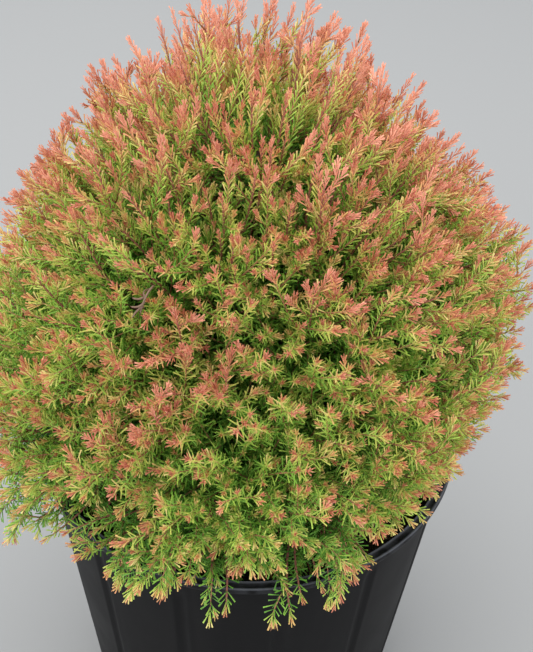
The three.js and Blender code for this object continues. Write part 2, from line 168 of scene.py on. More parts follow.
# Leading shoots and their sprays, as in the solids
LEADER_COUNT = 170
LOWEST_SHOOT = -14
LEADER_JITTER = 0.3
GATHER = 0.04
SHORTEST_SHOOT = 0.93
LENGTH_SEED = 1000
SHOOTS_AFTER_ENTRY = 0.12
TIP_RUN = 0.34
UPTURN = 1.1
UPTURN_FROM = -0.1
UPTURN_FULL = 0.4
UPTURN_STEPS = 6
LIFT = 0.004
LIFT_STEPS = 6
LEADER_STATIONS = 17
LEADER_RADIUS = 0.0022
PLUME_START = 0.46
SPRAY_COUNT = 5
SPRAY_ANGLE = 38
SPRAY_RISE = 0.12
SPRAY_LENGTH = 0.035
SPRAY_TAPER = 0.6
SPRAY_BOW = 0.10
SPRAY_SIZES = (1, 0.75, 0.5)
SPRAY_PROBES = (1, 0.8, 0.6, 0.4, 0.2)
CROWN_EDGE = 1.02
CELL_GAP = 0.0006
POT_GAP = 0.0012
SPRAY_POT_GAP = 0.0035

# Leading shoots between the solids' own, with more of them over the upper and the highest places
# of the spiral. At the top they lean outwards. Each kind has its range of lengths
UPPER_COUNT = 75
HIGHEST_COUNT = 30
BETWEEN_GATHER = -0.06
BETWEEN_UPTURN = 0.6
TOP_LEAN = 1.6
BETWEEN_SHARES = (0.86, 1.0)
SHORT_SHARES = (0.70, 0.90)
INNER_SHARES = (0.36, 0.74)
INNER_PLACE = 0.45
INTERLOCK = 0.014

# Side shoots of finer orders. Below the skirt's limit they hang and some are left out
LOW_ORDERS = np.array([-3, -2, -1])
BETWEEN_ORDERS = np.array([-3, -1, 1, 3])
INNER_ORDERS = np.array([-2, 0, 2, 4])
SIDE_ANGLE = 34
SIDE_RISE = 0.30
SIDE_DROOP = -0.9
SIDE_SHARES = (0.80, 1.0)
SIDE_BOW = 0.16
SHORTEST_SIDE = 0.012
LONGEST_SIDE = 0.055
LONGEST_HANGING = 0.095
SKIRT_LIMIT = -0.40
SKIRT_SPAN = 0.35
FRINGE_BARE = 0.6

# Short shoots on the wood inside the crown
TRUNK_SHOOTS = 40
TRUNK_STRETCH = (0.25, 0.97)
BOUGH_SHOOTS = 10
BOUGH_STRETCH = (0.2, 0.98)
STEM_SHOOTS = 9
STEM_ANGLES = (8, 50)
INSIDE_ANGLE = 62
INSIDE_LIFT = 0.2
INSIDE_LENGTH = 0.042
INSIDE_SIZES = (0.7, 1.3)
INSIDE_BOW = 0.12
TANGENT_STEP = 0.01

# The finest twigs, which stand further apart at the crown's top
TOP_TWIG_STEP = 1.2
MOST_TWIGS = 5
FIRST_TWIG = 0.55
TWIG_JITTER = 0.4
TWIG_END = 0.25
TWIG_SIZES = (0.7, 1.2)
TWIG_DRAWN_IN = (1, 0.7)
TWIG_TAPER = 0.45
TWIG_BOW = 0.10

# Tubes along each kind of shoot: where they start and end, the radius there, rings and sides
TUBES = {
    "stems": (0, 1.04, BOUGH_TIP_RADIUS, 0.0015, 6, 8),
    "inner_shoots": (0, 0.5, 0.0016, 0.0009, 5, 4),
    "leading_shoots": (0.49, 0.97, 0.0009, 0.0005, 7, 4),
    "side_shoots": (0, 0.93, 0.0006, 0.00035, 4, 3),
    "twigs": (0, 0.85, 0.0005, 0.0003, 2, 3),
    "dead_twig": (0, 1, 0.0007, 0.0004, 9, 6),
}

# A dead twig in front and its curls: azimuth, elevation and share of the crown's radius
DEAD_TWIG = [
    [(-115.0, 43.6, 0.86), (-113.5, 42.6, 0.95), (-111.5, 41.9, 0.96)],
    [(-111.4, 44.0, 0.93), (-110.7, 42.0, 1.00), (-111.9, 38.6, 0.96)],
    [(-111.6, 42.0, 0.96), (-112.0, 41.0, 0.98), (-113.4, 41.2, 0.99)],
    [(-111.3, 41.2, 0.965), (-111.5, 39.8, 0.985), (-113.1, 39.9, 0.995)],
    [(-111.5, 40.4, 0.96), (-112.4, 39.5, 0.98), (-112.4, 38.2, 0.99)],
]

# Whorls of needles: the bare start of leading shoots, side shoots and twigs, and the crowding
# towards a shoot's tip
BARE_STARTS = (0.2, 0.05, 0.1)
FEWEST_WHORLS = 3
FIRST_WHORL = 0.2
CROWDING = 1.6
CROWDING_FALL = 2.5
WHORL_BACK = 0.02

# Needles: where the upper crown starts, what changes near a tip, and what differs by chance
UPPER_FROM = 0.40
UPPER_SPAN = 0.5
TIP_RANGE = 0.009
YOUNG_RANGE = 0.005
YOUNG_SHORTER = 0.40
NEEDLE_LIFT = 0.08
TURN_JITTER = 0.7
ROOT_JITTER = 0.0012
SPREAD_SIZES = (0.85, 1.15)
NEEDLE_SIZES = (0.8, 1.12)
NEEDLE_EDGE = 1.05
NEEDLE_POT_GAP = 0.0008
MOST_NEEDLES = 33000
NEEDLE_FACES = np.array([[0, 3, 1], [1, 2, 0], [2, 1, 3], [3, 0, 2]])

# Thinning inside the crown: the share of its radius where it is strongest, how much deeper that
# lies at the top, and the span over which it fades
THIN_BELOW = 0.60
THIN_DEEPER_ABOVE = 0.06
THIN_SPAN = 0.22

# Ripeness: where the crown's surface starts, how far down a shoot its tip is ripe, and how
# strongly each cause counts
SURFACE_FROM = 0.60
SURFACE_SPAN = 0.36
RIPE_LENGTHS = (0.0050, 0.028)
RIPE_POWER = 1.5
TOP_WARMTH = 0.60
LOW_WARMTH = 0.6
VIGOUR = SimpleNamespace(start=1.70, warmth_and_painted_shade=1.20, skirt=0.50, spray=0.60, leader=1.20, mean=0.33)
RIPENESS = SimpleNamespace(outer=0.90, inner_tips=0.25, warmth_and_painted_shade=0.35, skirt=0.40, needle=0.60)

# Tints of the needles from the shaded inside to the ripest tips: name, linear colour, the share
# of all needles that has it, and the slot that it belongs to
TINTS = [
    ("deep_green", (0.076, 0.208, 0.023), 0.110, "foliage_lower"),
    ("dark_green", (0.125, 0.310, 0.036), 0.140, "foliage_lower"),
    ("leaf_green", (0.220, 0.430, 0.055), 0.180, "foliage_lower"),
    ("fresh_green", (0.360, 0.520, 0.080), 0.17, "foliage_middle"),
    ("lime", (0.530, 0.570, 0.120), 0.13, "foliage_middle"),
    ("straw", (0.700, 0.575, 0.205), 0.070, "foliage_middle"),
    ("gold", (0.715, 0.455, 0.165), 0.060, "foliage_upper"),
    ("amber", (0.690, 0.325, 0.150), 0.055, "foliage_upper"),
    ("rose", (0.575, 0.195, 0.122), 0.058, "foliage_top"),
    ("salmon", (0.740, 0.325, 0.212), 0.037, "foliage_top"),
]

# Where the crown has ripened more or less: azimuth, elevation, warmth, width in degrees. The strong
# cold patch in front just below the middle is painted shade under the crown's overhang
WARM_PATCHES_AND_PAINTED_SHADE = [
    (60, 50, 0.30, 45),
    (10, 30, -0.10, 22),
    (-114, 18, 0.24, 12),
    (-122, 40, -0.22, 16),
    (-103, 33, 0.64, 11),
    (-82, 62, 0.14, 12),
    (-66, 46, 0.12, 12),
    (-96, 48, -0.24, 13),
    (-72, 16, 0.12, 12),
    (-110, -8, 0.30, 9),
    # Painted shade: greener, darker needles where the crown's overhang shades its front
    (-87, -6, -0.50, 11),
]

# Roughness of the plain finishes
CHIP_ROUGHNESS = 0.85
TWIG_ROUGHNESS = 0.62
NEEDLE_ROUGHNESS = 0.5
FLOOR_ROUGHNESS = 0.9

# Lamps: name, place, size and power. All face one point in the crown
LAMP_TARGET = (0, 0, 0.35)
LAMPS = [
    ("sky_lamp", (-0.6, 0.5, 2.6), 2.4, 44),
    ("front_lamp", (-1.4, -2.0, 1.5), 1.6, 22),
    ("right_lamp", (2.2, -0.8, 1.3), 1.4, 14),
]
SKY_COLOUR = (0.93, 0.96, 1.0, 1.0)
SENSOR_WIDTH = 36.0

GOLDEN_ANGLE = math.pi * (3 - math.sqrt(5))
CHANCE_WAVE = SimpleNamespace(step=12.9898, start=4.1414, size=43758.5453)
HALVINGS = 30
TINY = 1e-9
STEEP = 0.9
UP = np.array([0.0, 0.0, 1.0])
AHEAD = np.array([0.0, 1.0, 0.0])
FORK = np.array([0.0, 0.0, FORK_HEIGHT])
CROWN_MIDDLE = np.array([0.0, 0.0, CROWN_CENTRE])

FOLIAGE_NODES = sorted(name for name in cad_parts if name.startswith("foliage"))
LIMB_NODES = sorted(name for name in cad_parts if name.startswith(("trunk", "bough")))


# Settings that a user may change

def colour_setting(name, description, default):
    """A colour, as linear red, green and blue."""
    return bpy.props.FloatVectorProperty(
        name=name, description=description, default=default, subtype="COLOR", min=0, max=1)


def length_setting(name, description, default):
    """A length in metres."""
    return bpy.props.FloatProperty(
        name=name, description=description, default=default, unit="LENGTH")


def count_setting(name, description, default, least, most):
    """A whole number."""
    return bpy.props.IntProperty(
        name=name, description=description, default=default, min=least, max=most)


def number_setting(name, description, default, **more):
    """A number, with its subtype or limits where it has them."""
    return bpy.props.FloatProperty(name=name, description=description, default=default, **more)


# Numbers and directions

def chance(seed):
    """A number from 0 to 1 for each seed: the fraction of a large multiple of its sine. What
    callers multiply a seed by, or add to it, only sets one draw apart from the others."""
    wave = np.sin(seed * CHANCE_WAVE.step + CHANCE_WAVE.start) * CHANCE_WAVE.size
    return wave - np.floor(wave)


def mix(a, b, share):
    """The first value where the share is 0 and the second where it is 1, even in between."""
    return a + (b - a) * share


def ramp(value, start, span):
    """0 up to the start, 1 from the span's end on, and even in between."""
    return np.clip((value - start) / span, 0, 1)


def unit(vectors):
    """Each vector made one long."""
    return vectors / np.linalg.norm(vectors, axis=-1, keepdims=True)


def even_turns(count):
    """Angles at even steps round a circle."""
    return np.arange(count) * 2 * math.pi / count


def round_axis(radius, turn, height):
    """Points at a radius from the axis, turned round it, at a height."""
    radius, turn, height = np.broadcast_arrays(radius, turn, height)
    return np.stack([radius * np.cos(turn), radius * np.sin(turn), height], -1)


def bearing(azimuth, elevation):
    """The unit direction at an azimuth and an elevation in degrees."""
    a, e = math.radians(azimuth), math.radians(elevation)
    return round_axis(math.cos(e), a, math.sin(e))


def swell_sum(direction, lumps):
    """The sum of the lumps in each direction. Each has an azimuth, elevation, size and width,
    and falls off as exp((cosine - 1) / (1 - cos width))."""
    middles = np.array([bearing(lump[0], lump[1]) for lump in lumps])
    sizes = np.array([lump[2] for lump in lumps])
    spreads = np.array([1 - math.cos(math.radians(lump[3])) for lump in lumps])
    return np.sum(sizes * np.exp((direction @ middles.T - 1) / spreads), axis=-1)


def square_to(tangent, whole=None):
    """The two directions square to a tangent, of which the first is level where the tangent, or
    the whole line that it belongs to, isn't steep."""
    course = tangent if whole is None else whole
    guide = np.where(np.abs(course[..., 2:]) < STEEP, UP, AHEAD)
    level = unit(np.cross(guide, tangent))
    return level, np.cross(tangent, level)


def curve_point(curve, t):
    """The point of a quadratic Bezier: (1-t)^2 a + 2t(1-t) b + t^2 c."""
    a, b, c = curve[..., 0, :], curve[..., 1, :], curve[..., 2, :]
    t = np.asarray(t)[..., None]
    return (1 - t) ** 2 * a + 2 * t * (1 - t) * b + t ** 2 * c


def curve_tangent(curve, t):
    """The direction of a quadratic Bezier: (1-t)(b-a) + t(c-b), made one long."""
    a, b, c = curve[..., 0, :], curve[..., 1, :], curve[..., 2, :]
    t = np.asarray(t)[..., None]
    return unit((1 - t) * (b - a) + t * (c - b))


def curve_length(curve):
    """The length of each Bezier, as the sum of eight chords."""
    points = curve_point(curve[:, None], np.linspace(0, 1, 9)[None])
    return np.linalg.norm(np.diff(points, axis=1), axis=-1).sum(axis=1)


# Groups of shoots, whorls or needles, with one row for each in every field

def rows_of(picked, **fields):
    """A group with the picked rows of each field."""
    return SimpleNamespace(**{name: values[picked] for name, values in fields.items()})


def together(groups):
    """One group from several."""
    return SimpleNamespace(**{
        name: np.concatenate([getattr(group, name) for group in groups])
        for name in vars(groups[0])
    })


def numbered(count):
    """For so many members of each parent, the parent and the number of each member."""
    parent = np.repeat(np.arange(len(count)), count)
    return parent, np.arange(len(parent)) - np.repeat(np.cumsum(count) - count, count)


# Meshes

def mesh_object(name, points, faces, smooth):
    """An object from points (n, 3) and faces (m, corners), all with as many corners."""
    corners = faces.shape[1]
    mesh = bpy.data.meshes.new(name)
    mesh.vertices.add(len(points))
    mesh.vertices.foreach_set("co", np.ascontiguousarray(points, dtype=np.float32).ravel())
    mesh.loops.add(faces.size)
    mesh.loops.foreach_set("vertex_index", faces.astype(np.int32).ravel())
    mesh.polygons.add(len(faces))
    mesh.polygons.foreach_set("loop_start", np.arange(0, faces.size, corners, dtype=np.int32))
    mesh.polygons.foreach_set("use_smooth", np.full(len(faces), smooth))
    mesh.update(calc_edges=True)
    mesh.validate()
    made = bpy.data.objects.new(name, mesh)
    bpy.context.scene.collection.objects.link(made)
    return made


def joined(points, faces):
    """One mesh of n like shapes: points (n, k, 3), and the faces of the first of them."""
    count, size = points.shape[:2]
    steps = np.arange(count)[:, None, None] * size
    return points.reshape(-1, 3), (faces[None] + steps).reshape(-1, faces.shape[1])


def merged(parts):
    """One mesh from several (points, faces)."""
    points = np.concatenate([part[0] for part in parts])
    starts = np.cumsum([0] + [len(part[0]) for part in parts[:-1]])
    faces = np.concatenate([part[1] + start for part, start in zip(parts, starts)])
    return points, faces


def closed(rings, first, last):
    """Closed surfaces from rings (n, rows, columns, 3) that face away from their middle line, and
    a point (n, 1, 3) in the middle of each end."""
    count, rows, columns = rings.shape[:3]
    row = np.arange(rows - 1)[:, None] * columns
    side = np.arange(columns)
    after = (side + 1) % columns
    a, b = row + side, row + after
    c, d = b + columns, a + columns
    end = (rows - 1) * columns
    middle = np.full(columns, rows * columns)
    faces = np.concatenate([
        np.stack([a, b, c], -1).reshape(-1, 3),
        np.stack([a, c, d], -1).reshape(-1, 3),
        np.stack([middle, after, side], -1),
        np.stack([end + side, end + after, middle + 1], -1),
    ])
    points = np.concatenate([rings.reshape(count, -1, 3), first, last], axis=1)
    return joined(points, faces)


def rings_along(middles, radii, sides):
    """Rings round middle lines (n, m, 3): radii (n, m, 1 or sides) turned round the tangent."""
    tangents = unit(np.gradient(middles, axis=1))
    level, rising = square_to(tangents, tangents.mean(axis=1, keepdims=True))
    turn = even_turns(sides)
    around = level[:, :, None] * np.cos(turn)[:, None] + rising[:, :, None] * np.sin(turn)[:, None]
    return middles[:, :, None] + around * radii[..., None]


def tubes(curves, start, end, thick, thin, rings, sides):
    """Closed tubes along a stretch of each curve, tapering from thick to thin and to a tip."""
    middles = curve_point(curves[:, None], np.linspace(start, end, rings)[None])
    radii = np.broadcast_to(np.linspace(thick, thin, rings), middles.shape[:2])
    walls = rings_along(middles, radii[..., None], sides)
    return closed(walls[:, :-1], middles[:, :1], middles[:, -1:])


def finish_piece(piece, material, nodes):
    """Give a piece its material and body, and let it stand for its nodes."""
    piece.data.materials.append(material)
    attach(piece, "root")
    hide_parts(*nodes)


# Materials

class Shade:
    """A socket in a material's node tree. Sums and products of it add Math nodes."""

    def __init__(self, tree, socket=None):
        self.tree = tree
        self.socket = socket

    def node(self, kind, settings, inputs, output=0):
        """A node with its settings, and a value or link for each of its named sockets."""
        made = self.tree.nodes.new(kind)
        for name, value in settings.items():
            setattr(made, name, value)
        for name, value in inputs.items():
            if isinstance(value, Shade):
                self.tree.links.new(value.socket, made.inputs[name])
            else:
                made.inputs[name].default_value = value
        return Shade(self.tree, made.outputs[output])

    def math(self, operation, *values):
        """A Math node on one or two values."""
        return self.node("ShaderNodeMath", {"operation": operation}, dict(enumerate(values)))

    def __add__(self, other):
        return self.math("ADD", self, other)

    def __sub__(self, other):
        return self.math("SUBTRACT", self, other)

    def __rsub__(self, other):
        return self.math("SUBTRACT", other, self)

    def __mul__(self, other):
        return self.math("MULTIPLY", self, other)

    __radd__ = __add__
    __rmul__ = __mul__

    def between(self, low, high):
        """0 below low, 1 above high, and even in between."""
        limits = {"Value": self, "From Min": low, "From Max": high}
        return self.node("ShaderNodeMapRange", {"clamp": True}, limits)

    def blend(self, first, second):
        """The first colour where this is 0, and the second where it is 1."""
        colours = {0: self, 6: first, 7: second}
        return self.node("ShaderNodeMix", {"data_type": "RGBA"}, colours, output=2)


def solid_colour(colour):
    """Red, green and blue with full cover."""
    return (*colour[:3], 1.0)


def new_material(name, colour, **constants):
    """A material, its Principled shader with constants set, and the start of its shader maths."""
    material = bpy.data.materials.new(name)
    material.use_nodes = True
    shader = material.node_tree.nodes["Principled BSDF"]
    for socket, value in constants.items():
        shader.inputs[socket.replace("_", " ")].default_value = value
    shader.inputs["Base Color"].default_value = solid_colour(colour)
    material.diffuse_color = solid_colour(colour)
    return material, shader, Shade(material.node_tree)


def feed(shader, **shades):
    """Link each shade to the shader's socket of its name."""
    for socket, shade in shades.items():
        shade.tree.links.new(shade.socket, shader.inputs[socket.replace("_", " ")])


def object_place(start):
    """The object's own coordinates, which are the frame's."""
    return start.node("ShaderNodeTexCoord", {}, {}, output="Object")


def noise(start, scale, detail=3.0, stretch=(1.0, 1.0, 1.0)):
    """Noise over the object's own coordinates, stretched along its axes."""
    sized = start.node(
        "ShaderNodeMapping", {}, {"Vector": object_place(start), "Scale": stretch})
    return start.node(
        "ShaderNodeTexNoise", {}, {"Vector": sized, "Scale": scale, "Detail": detail})


def bump(start, height, strength, distance):
    """The surface's normal, tilted by a height."""
    return start.node("ShaderNodeBump", {}, {
        "Height": height, "Strength": strength, "Distance": distance,
    })


def pot_plastic(settings):
    """Black nursery plastic: fine grain, faint streaks down the wall, dust, a worn lip, and painted
    highlight lines along the lip's two crest edges.
    """
    material, shader, start = new_material("pot_plastic", settings.colour, Specular_IOR_Level=0.12)
    height = start.node(
        "ShaderNodeSeparateXYZ", {}, {"Vector": object_place(start)}, output="Z")
    cloud = noise(start, scale=14.0)
    streak = noise(start, scale=60.0, stretch=(1.0, 1.0, 0.06))
    grain = noise(start, scale=900.0, detail=2.0)
    scuffs = noise(start, scale=120.0)
    low_down = 1 - height.between(0.02, 0.24) * 0.6
    dust = cloud.between(0.42, 0.75) * low_down
    # The lip's crest edges, from the channel's depth up to the top, get painted highlight lines
    crest = height.between(POT_HEIGHT - settings.step_height, POT_HEIGHT)
    lip = height.between(WALL_TOP - 0.001, WALL_TOP) * scuffs.between(0.35, 0.6)
    marks = streak.between(0.5, 0.72) * 0.35 + dust * 0.55
    dusted = marks.blend(solid_colour(settings.colour), solid_colour(settings.dust))
    feed(
        shader,
        # The lighter colour is mostly a painted highlight on the crest edges, and a little real
        # wear where the lip is scuffed
        Base_Color=(crest * 0.7 + lip * 0.15).blend(dusted, solid_colour(settings.wear_and_painted_highlight)),
        Roughness=0.46 + dust * 0.18 + streak * 0.10,
        Normal=bump(start, grain * 0.4 + streak * 0.6, strength=0.25, distance=0.0004),
    )
    return material


def potting_mix(settings):
    """Dark, damp potting mix with lighter crumbs; the damp mix's own colour is darkened further as
    painted shade for the shade it lies in inside the pot.
    """
    material, shader, start = new_material("potting_mix", settings.colour, Specular_IOR_Level=0.3)
    crumbs = noise(start, scale=420.0, detail=5.0)
    damp = noise(start, scale=25.0)
    feed(
        shader,
        Base_Color=crumbs.between(0.45, 0.75).blend(
            solid_colour(settings.colour), solid_colour(settings.crumb_colour)),
        Roughness=0.7 + damp * 0.25,
        Normal=bump(start, crumbs, strength=0.8, distance=0.002),
    )
    return material


def bark_finish(settings):
    """Fibrous red-brown bark: noise drawn out along the limb, grey on its ridges."""
    material, shader, start = new_material("bark", settings.colour, Specular_IOR_Level=0.3)
    fibre = noise(start, scale=260.0, detail=5.0, stretch=(1.0, 1.0, 0.15))
    patch = noise(start, scale=30.0)
    feed(
        shader,
        Base_Color=(fibre.between(0.4, 0.68) * 0.6 + patch * 0.3).blend(
            solid_colour(settings.colour), solid_colour(settings.ridge_colour)),
        Roughness=0.72 + fibre * 0.2,
        Normal=bump(start, fibre, strength=0.7, distance=0.001),
    )
    return material


def plain_finish(name, colour, roughness):
    """A plain base colour, for needles and twigs that are dealt their colours by spray."""
    return new_material(name, colour, Roughness=roughness, Specular_IOR_Level=0.35)[0]


# Pot

def wall_radius(height):
    """The outside of the pot's wall, which widens evenly from the foot to the lip."""
    return mix(FOOT_RADIUS, WALL_TOP_RADIUS, height / WALL_TOP)


def inside_radius(height):
    """The inside of the pot's wall."""
    return wall_radius(height) - POT_WALL


def arc(radius, height, size, first, steps):
    """Points (radius, height) of a quarter of a circle about a middle, from an angle in degrees."""
    turn = np.radians(np.linspace(first, first + 90, steps))
    return np.stack([radius + size * np.cos(turn), height + size * np.sin(turn)], -1)


def wall_line(radius_at, low, high, rows):
    """Points (radius, height) of a straight wall, from one height to another."""
    heights = np.linspace(low, high, rows)
    return np.stack([radius_at(heights), heights], -1)


def pot_profile(settings):
    """The pot's section from the foot's edge up the wall, over the lip and down the inside, and
    how far each point of it takes part in the grooves."""
    foot, lip = settings.foot_round, settings.lip_round
    groove_top = POT_HEIGHT - GROOVE_BELOW_RIM
    bare_from = groove_top + GROOVE_FADE + ROW_STEP
    crest = POT_HEIGHT - lip
    channel = POT_HEIGHT - settings.step_height
    outer, inner = RIM_RADIUS, inside_radius(POT_HEIGHT)
    outside = np.concatenate([
        arc(FOOT_RADIUS - foot, foot, foot, -90, steps=5),
        wall_line(wall_radius, 2 * foot, groove_top + GROOVE_FADE, rows=56),
        wall_line(wall_radius, bare_from, WALL_TOP - BELOW_LIP, rows=4),
    ])
    top = np.concatenate([
        arc(outer - lip, WALL_TOP + lip, lip, -90, steps=4),
        arc(outer - lip, crest, lip, 0, steps=5),
        [[outer - CHANNEL_OUTER, channel], [inner + CHANNEL_INNER, channel]],
        arc(inner + lip, crest, lip, 90, steps=5),
        wall_line(inside_radius, POT_HEIGHT - LIP_INSIDE, POT_FLOOR, rows=12),
    ])
    heights = outside[:, 1]
    fade = ramp(heights, GROOVE_ABOVE_FOOT, GROOVE_FADE) * ramp(
        groove_top - heights, 0, GROOVE_FADE)
    return np.concatenate([outside, top]), np.concatenate([fade, np.zeros(len(top))])


def pot_surface(settings):
    """The profile turned round the axis. In each of the panels' edges the wall sinks by the
    groove's depth times exp(-(arc / half width)^4), and stands out a little beside it."""
    profile, grooved = pot_profile(settings)
    turn = FIRST_GROOVE + even_turns(PANEL_COUNT * settings.columns)
    panel = 2 * math.pi / PANEL_COUNT
    offset = (turn - FIRST_GROOVE + panel / 2) % panel - panel / 2
    across = np.abs(offset) * RIM_RADIUS / (settings.groove_width / 2)
    sink = settings.groove_depth * np.exp(-across ** 4)
    ridge = settings.groove_ridge * np.exp(-((across - RIDGE_PLACE) / RIDGE_WIDTH) ** 2)
    belly = settings.panel_belly * np.cos(offset / panel * 2 * math.pi)
    relief = grooved[:, None] * (ridge - sink + belly)[None]
    rings = round_axis(profile[:, :1] + relief, turn, profile[:, 1:])
    return closed(rings[None], np.array([[[0, 0, 0]]]), np.array([[[0, 0, POT_FLOOR]]]))


class PotSettings(bpy.types.PropertyGroup):
    colour: colour_setting("Plastic", "Colour of the pot's plastic", (0.0030, 0.0028, 0.0032))
    dust: colour_setting("Dust", "Colour of the dust on the wall", (0.0115, 0.0108, 0.0110))
    # Colour of the scuffed lip, also used as a painted highlight along the lip's crest edges
    wear_and_painted_highlight: colour_setting("Wear", "Colour of the worn lip", (0.11, 0.115, 0.13))
    groove_depth: length_setting("Groove depth", "How far the wall sinks between panels", 0.0016)
    groove_width: length_setting("Groove width", "Width of a groove", 0.0070)
    groove_ridge: length_setting(
        "Groove ridge", "How far the wall stands out beside a groove", 0.0004)
    panel_belly: length_setting(
        "Panel belly", "How far a panel is drawn in at its middle", 0.0003)
    lip_round: length_setting("Lip rounding", "Radius of the lip's edges", 0.0011)
    step_height: length_setting("Lip channel", "Depth of the channel along the lip's top", 0.0009)
    foot_round: length_setting("Foot rounding", "Radius of the foot's edge", 0.002)
    columns: count_setting("Columns", "Columns of faces in each panel", 32, 12, 64)


class ARBORVITAE_OT_pot(bpy.types.Operator):
    """Make the nursery pot with its lip, panels and grooves"""
    bl_idname = "arborvitae.pot"
    bl_label = "Make the pot"

    def execute(self, context):
        settings = context.scene.arborvitae_pot
        pot = mesh_object("nursery_pot", *pot_surface(settings), smooth=True)
        finish_piece(pot, pot_plastic(settings), ["pot"])
        return {"FINISHED"}


# Soil

def ripple(x, y):
    """Rough ground: a sum of waves of ever smaller size, each turned by the golden angle."""
    total = np.zeros_like(x)
    for octave in range(RIPPLES.octaves):
        turn = RIPPLES.seed + octave * GOLDEN_ANGLE
        size = RIPPLES.scale * RIPPLES.ratio ** octave
        along = x * math.cos(turn) + y * math.sin(turn)
        across = y * math.cos(turn) - x * math.sin(turn)
        bend = RIPPLES.bend * np.sin(RIPPLES.slant * size * across + RIPPLES.seed)
        total += np.sin(size * along + bend) / RIPPLES.fall ** octave
    return total


def soil_height(x, y):
    """The soil's height, which falls with the cube of the way out to the wall."""
    radius = np.hypot(x, y) / inside_radius(SOIL_TOP)
    return SOIL_TOP - SOIL_FALL * radius ** 3 - SOIL_SINK


def soil_surface(settings):
    """A closed heap: a ring at the pot's floor, one at the top of the wall, and rings on to the
    middle of the top, which are raised by ripples."""
    turn = even_turns(SOIL_COLUMNS)
    room = inside_radius(SOIL_TOP - SOIL_FALL)
    radius = room * np.linspace(FIRST_RING, 1, SOIL_RINGS)[:, None] - GAP
    top = round_axis(radius, turn, SOIL_TOP)
    x, y = top[..., 0], top[..., 1]
    top[..., 2] = np.minimum(soil_height(x, y) + settings.relief * ripple(x, y), SOIL_TOP)
    floor = POT_FLOOR + GAP
    bottom = round_axis(inside_radius(POT_FLOOR) - GAP, turn, floor)
    rings = np.concatenate([bottom[None], top[::-1]])
    peak = top[0, :, 2].mean()
    return closed(rings[None], np.array([[[0, 0, floor]]]), np.array([[[0, 0, peak]]]))


def bark_chips(settings):
    """Flat chips that lie on the soil: each is an octahedron, flattened and turned by chance."""
    seeds = np.arange(settings.chip_count) + 0.37
    room = inside_radius(SOIL_TOP - SOIL_FALL) - CHIP_WALL_ROOM
    radius = np.maximum(room * np.sqrt(chance(seeds)), FLARE_RADIUS + CHIP_TRUNK_ROOM)
    middle = round_axis(radius, 2 * math.pi * chance(seeds + 50), 0.0)
    middle[:, 2] = soil_height(middle[:, 0], middle[:, 1]) + CHIP_RAISE
    heading = 2 * math.pi * chance(seeds + 90)
    tilt = CHIP_TILT * (chance(seeds + 130) - 0.5)
    length = settings.chip_length * mix(SHORTEST_CHIP, 1, chance(seeds + 170))
    along = round_axis(np.cos(tilt), heading, np.sin(tilt))
    side = unit(np.cross(UP, along))
    axes = np.stack([along, side, np.cross(along, side)], axis=1)
    corners = middle[:, None] + CHIP_CORNERS @ axes * (length / 2)[:, None, None]
    return joined(corners, CHIP_FACES)


class SoilSettings(bpy.types.PropertyGroup):
    # The mix and its crumbs: the damp mix's own colours, darkened further as painted shade for the
    # shade inside the pot
    colour: colour_setting("Mix", "Colour of the damp potting mix", (0.016, 0.011, 0.008))
    crumb_colour: colour_setting("Crumbs", "Colour of the lighter crumbs", (0.050, 0.034, 0.022))
    chip_colour: colour_setting("Chips", "Colour of the bark chips", (0.055, 0.033, 0.021))
    relief: length_setting("Relief", "Height of the ground's ripples", 0.0005)
    chip_count: count_setting("Chip count", "Number of bark chips", 700, 0, 2000)
    chip_length: length_setting("Chip length", "Length of the largest chips", 0.012)


class ARBORVITAE_OT_soil(bpy.types.Operator):
    """Make the potting mix and the bark chips on it"""
    bl_idname = "arborvitae.soil"
    bl_label = "Make the soil"

    def execute(self, context):
        settings = context.scene.arborvitae_soil
        ground = mesh_object("potting_mix", *soil_surface(settings), smooth=True)
        finish_piece(ground, potting_mix(settings), ["soil"])
        chips = mesh_object("bark_chips", *bark_chips(settings), smooth=False)
        finish = plain_finish("bark_chips", settings.chip_colour, CHIP_ROUGHNESS)
        finish_piece(chips, finish, ["soil"])
        return {"FINISHED"}


# The crown's rule

def crown_radius(direction):
    """The crown's radius from its middle: a superellipse, fuller below, times one plus the sum
    of the lumps."""
    level = np.hypot(direction[..., 0], direction[..., 1])
    rising = direction[..., 2] >= 0
    power = np.where(rising, SHOULDER_POWER, SKIRT_POWER)
    height = np.where(rising, CROWN_RISE, CROWN_DROP)
    total = (level / CROWN_RADIUS) ** power + (np.abs(direction[..., 2]) / height) ** power
    return (1 + swell_sum(direction, CROWN_LUMPS)) * total ** (-1 / power)


def crown_share(points):
    """How far out each point is: 0 at the crown's middle and 1 at its surface."""
    offset = points - CROWN_MIDDLE
    distance = np.maximum(np.linalg.norm(offset, axis=-1), TINY)
    return distance / crown_radius(offset / distance[..., None])


def rise_of(points):
    """The sine of each point's elevation, seen from the crown's middle."""
    return unit(points - CROWN_MIDDLE)[:, 2]


def reach(direction, root=FORK):
    """The distance from a root to the crown's surface in each direction, found by halving."""
    near = np.zeros(direction.shape[:-1])
    far = np.full(direction.shape[:-1], 2 * CROWN_RISE)
    for _ in range(HALVINGS):
        middle = (near + far) / 2
        inside = crown_share(root + direction * middle[..., None]) < 1
        near = np.where(inside, middle, near)
        far = np.where(inside, far, middle)
    return near


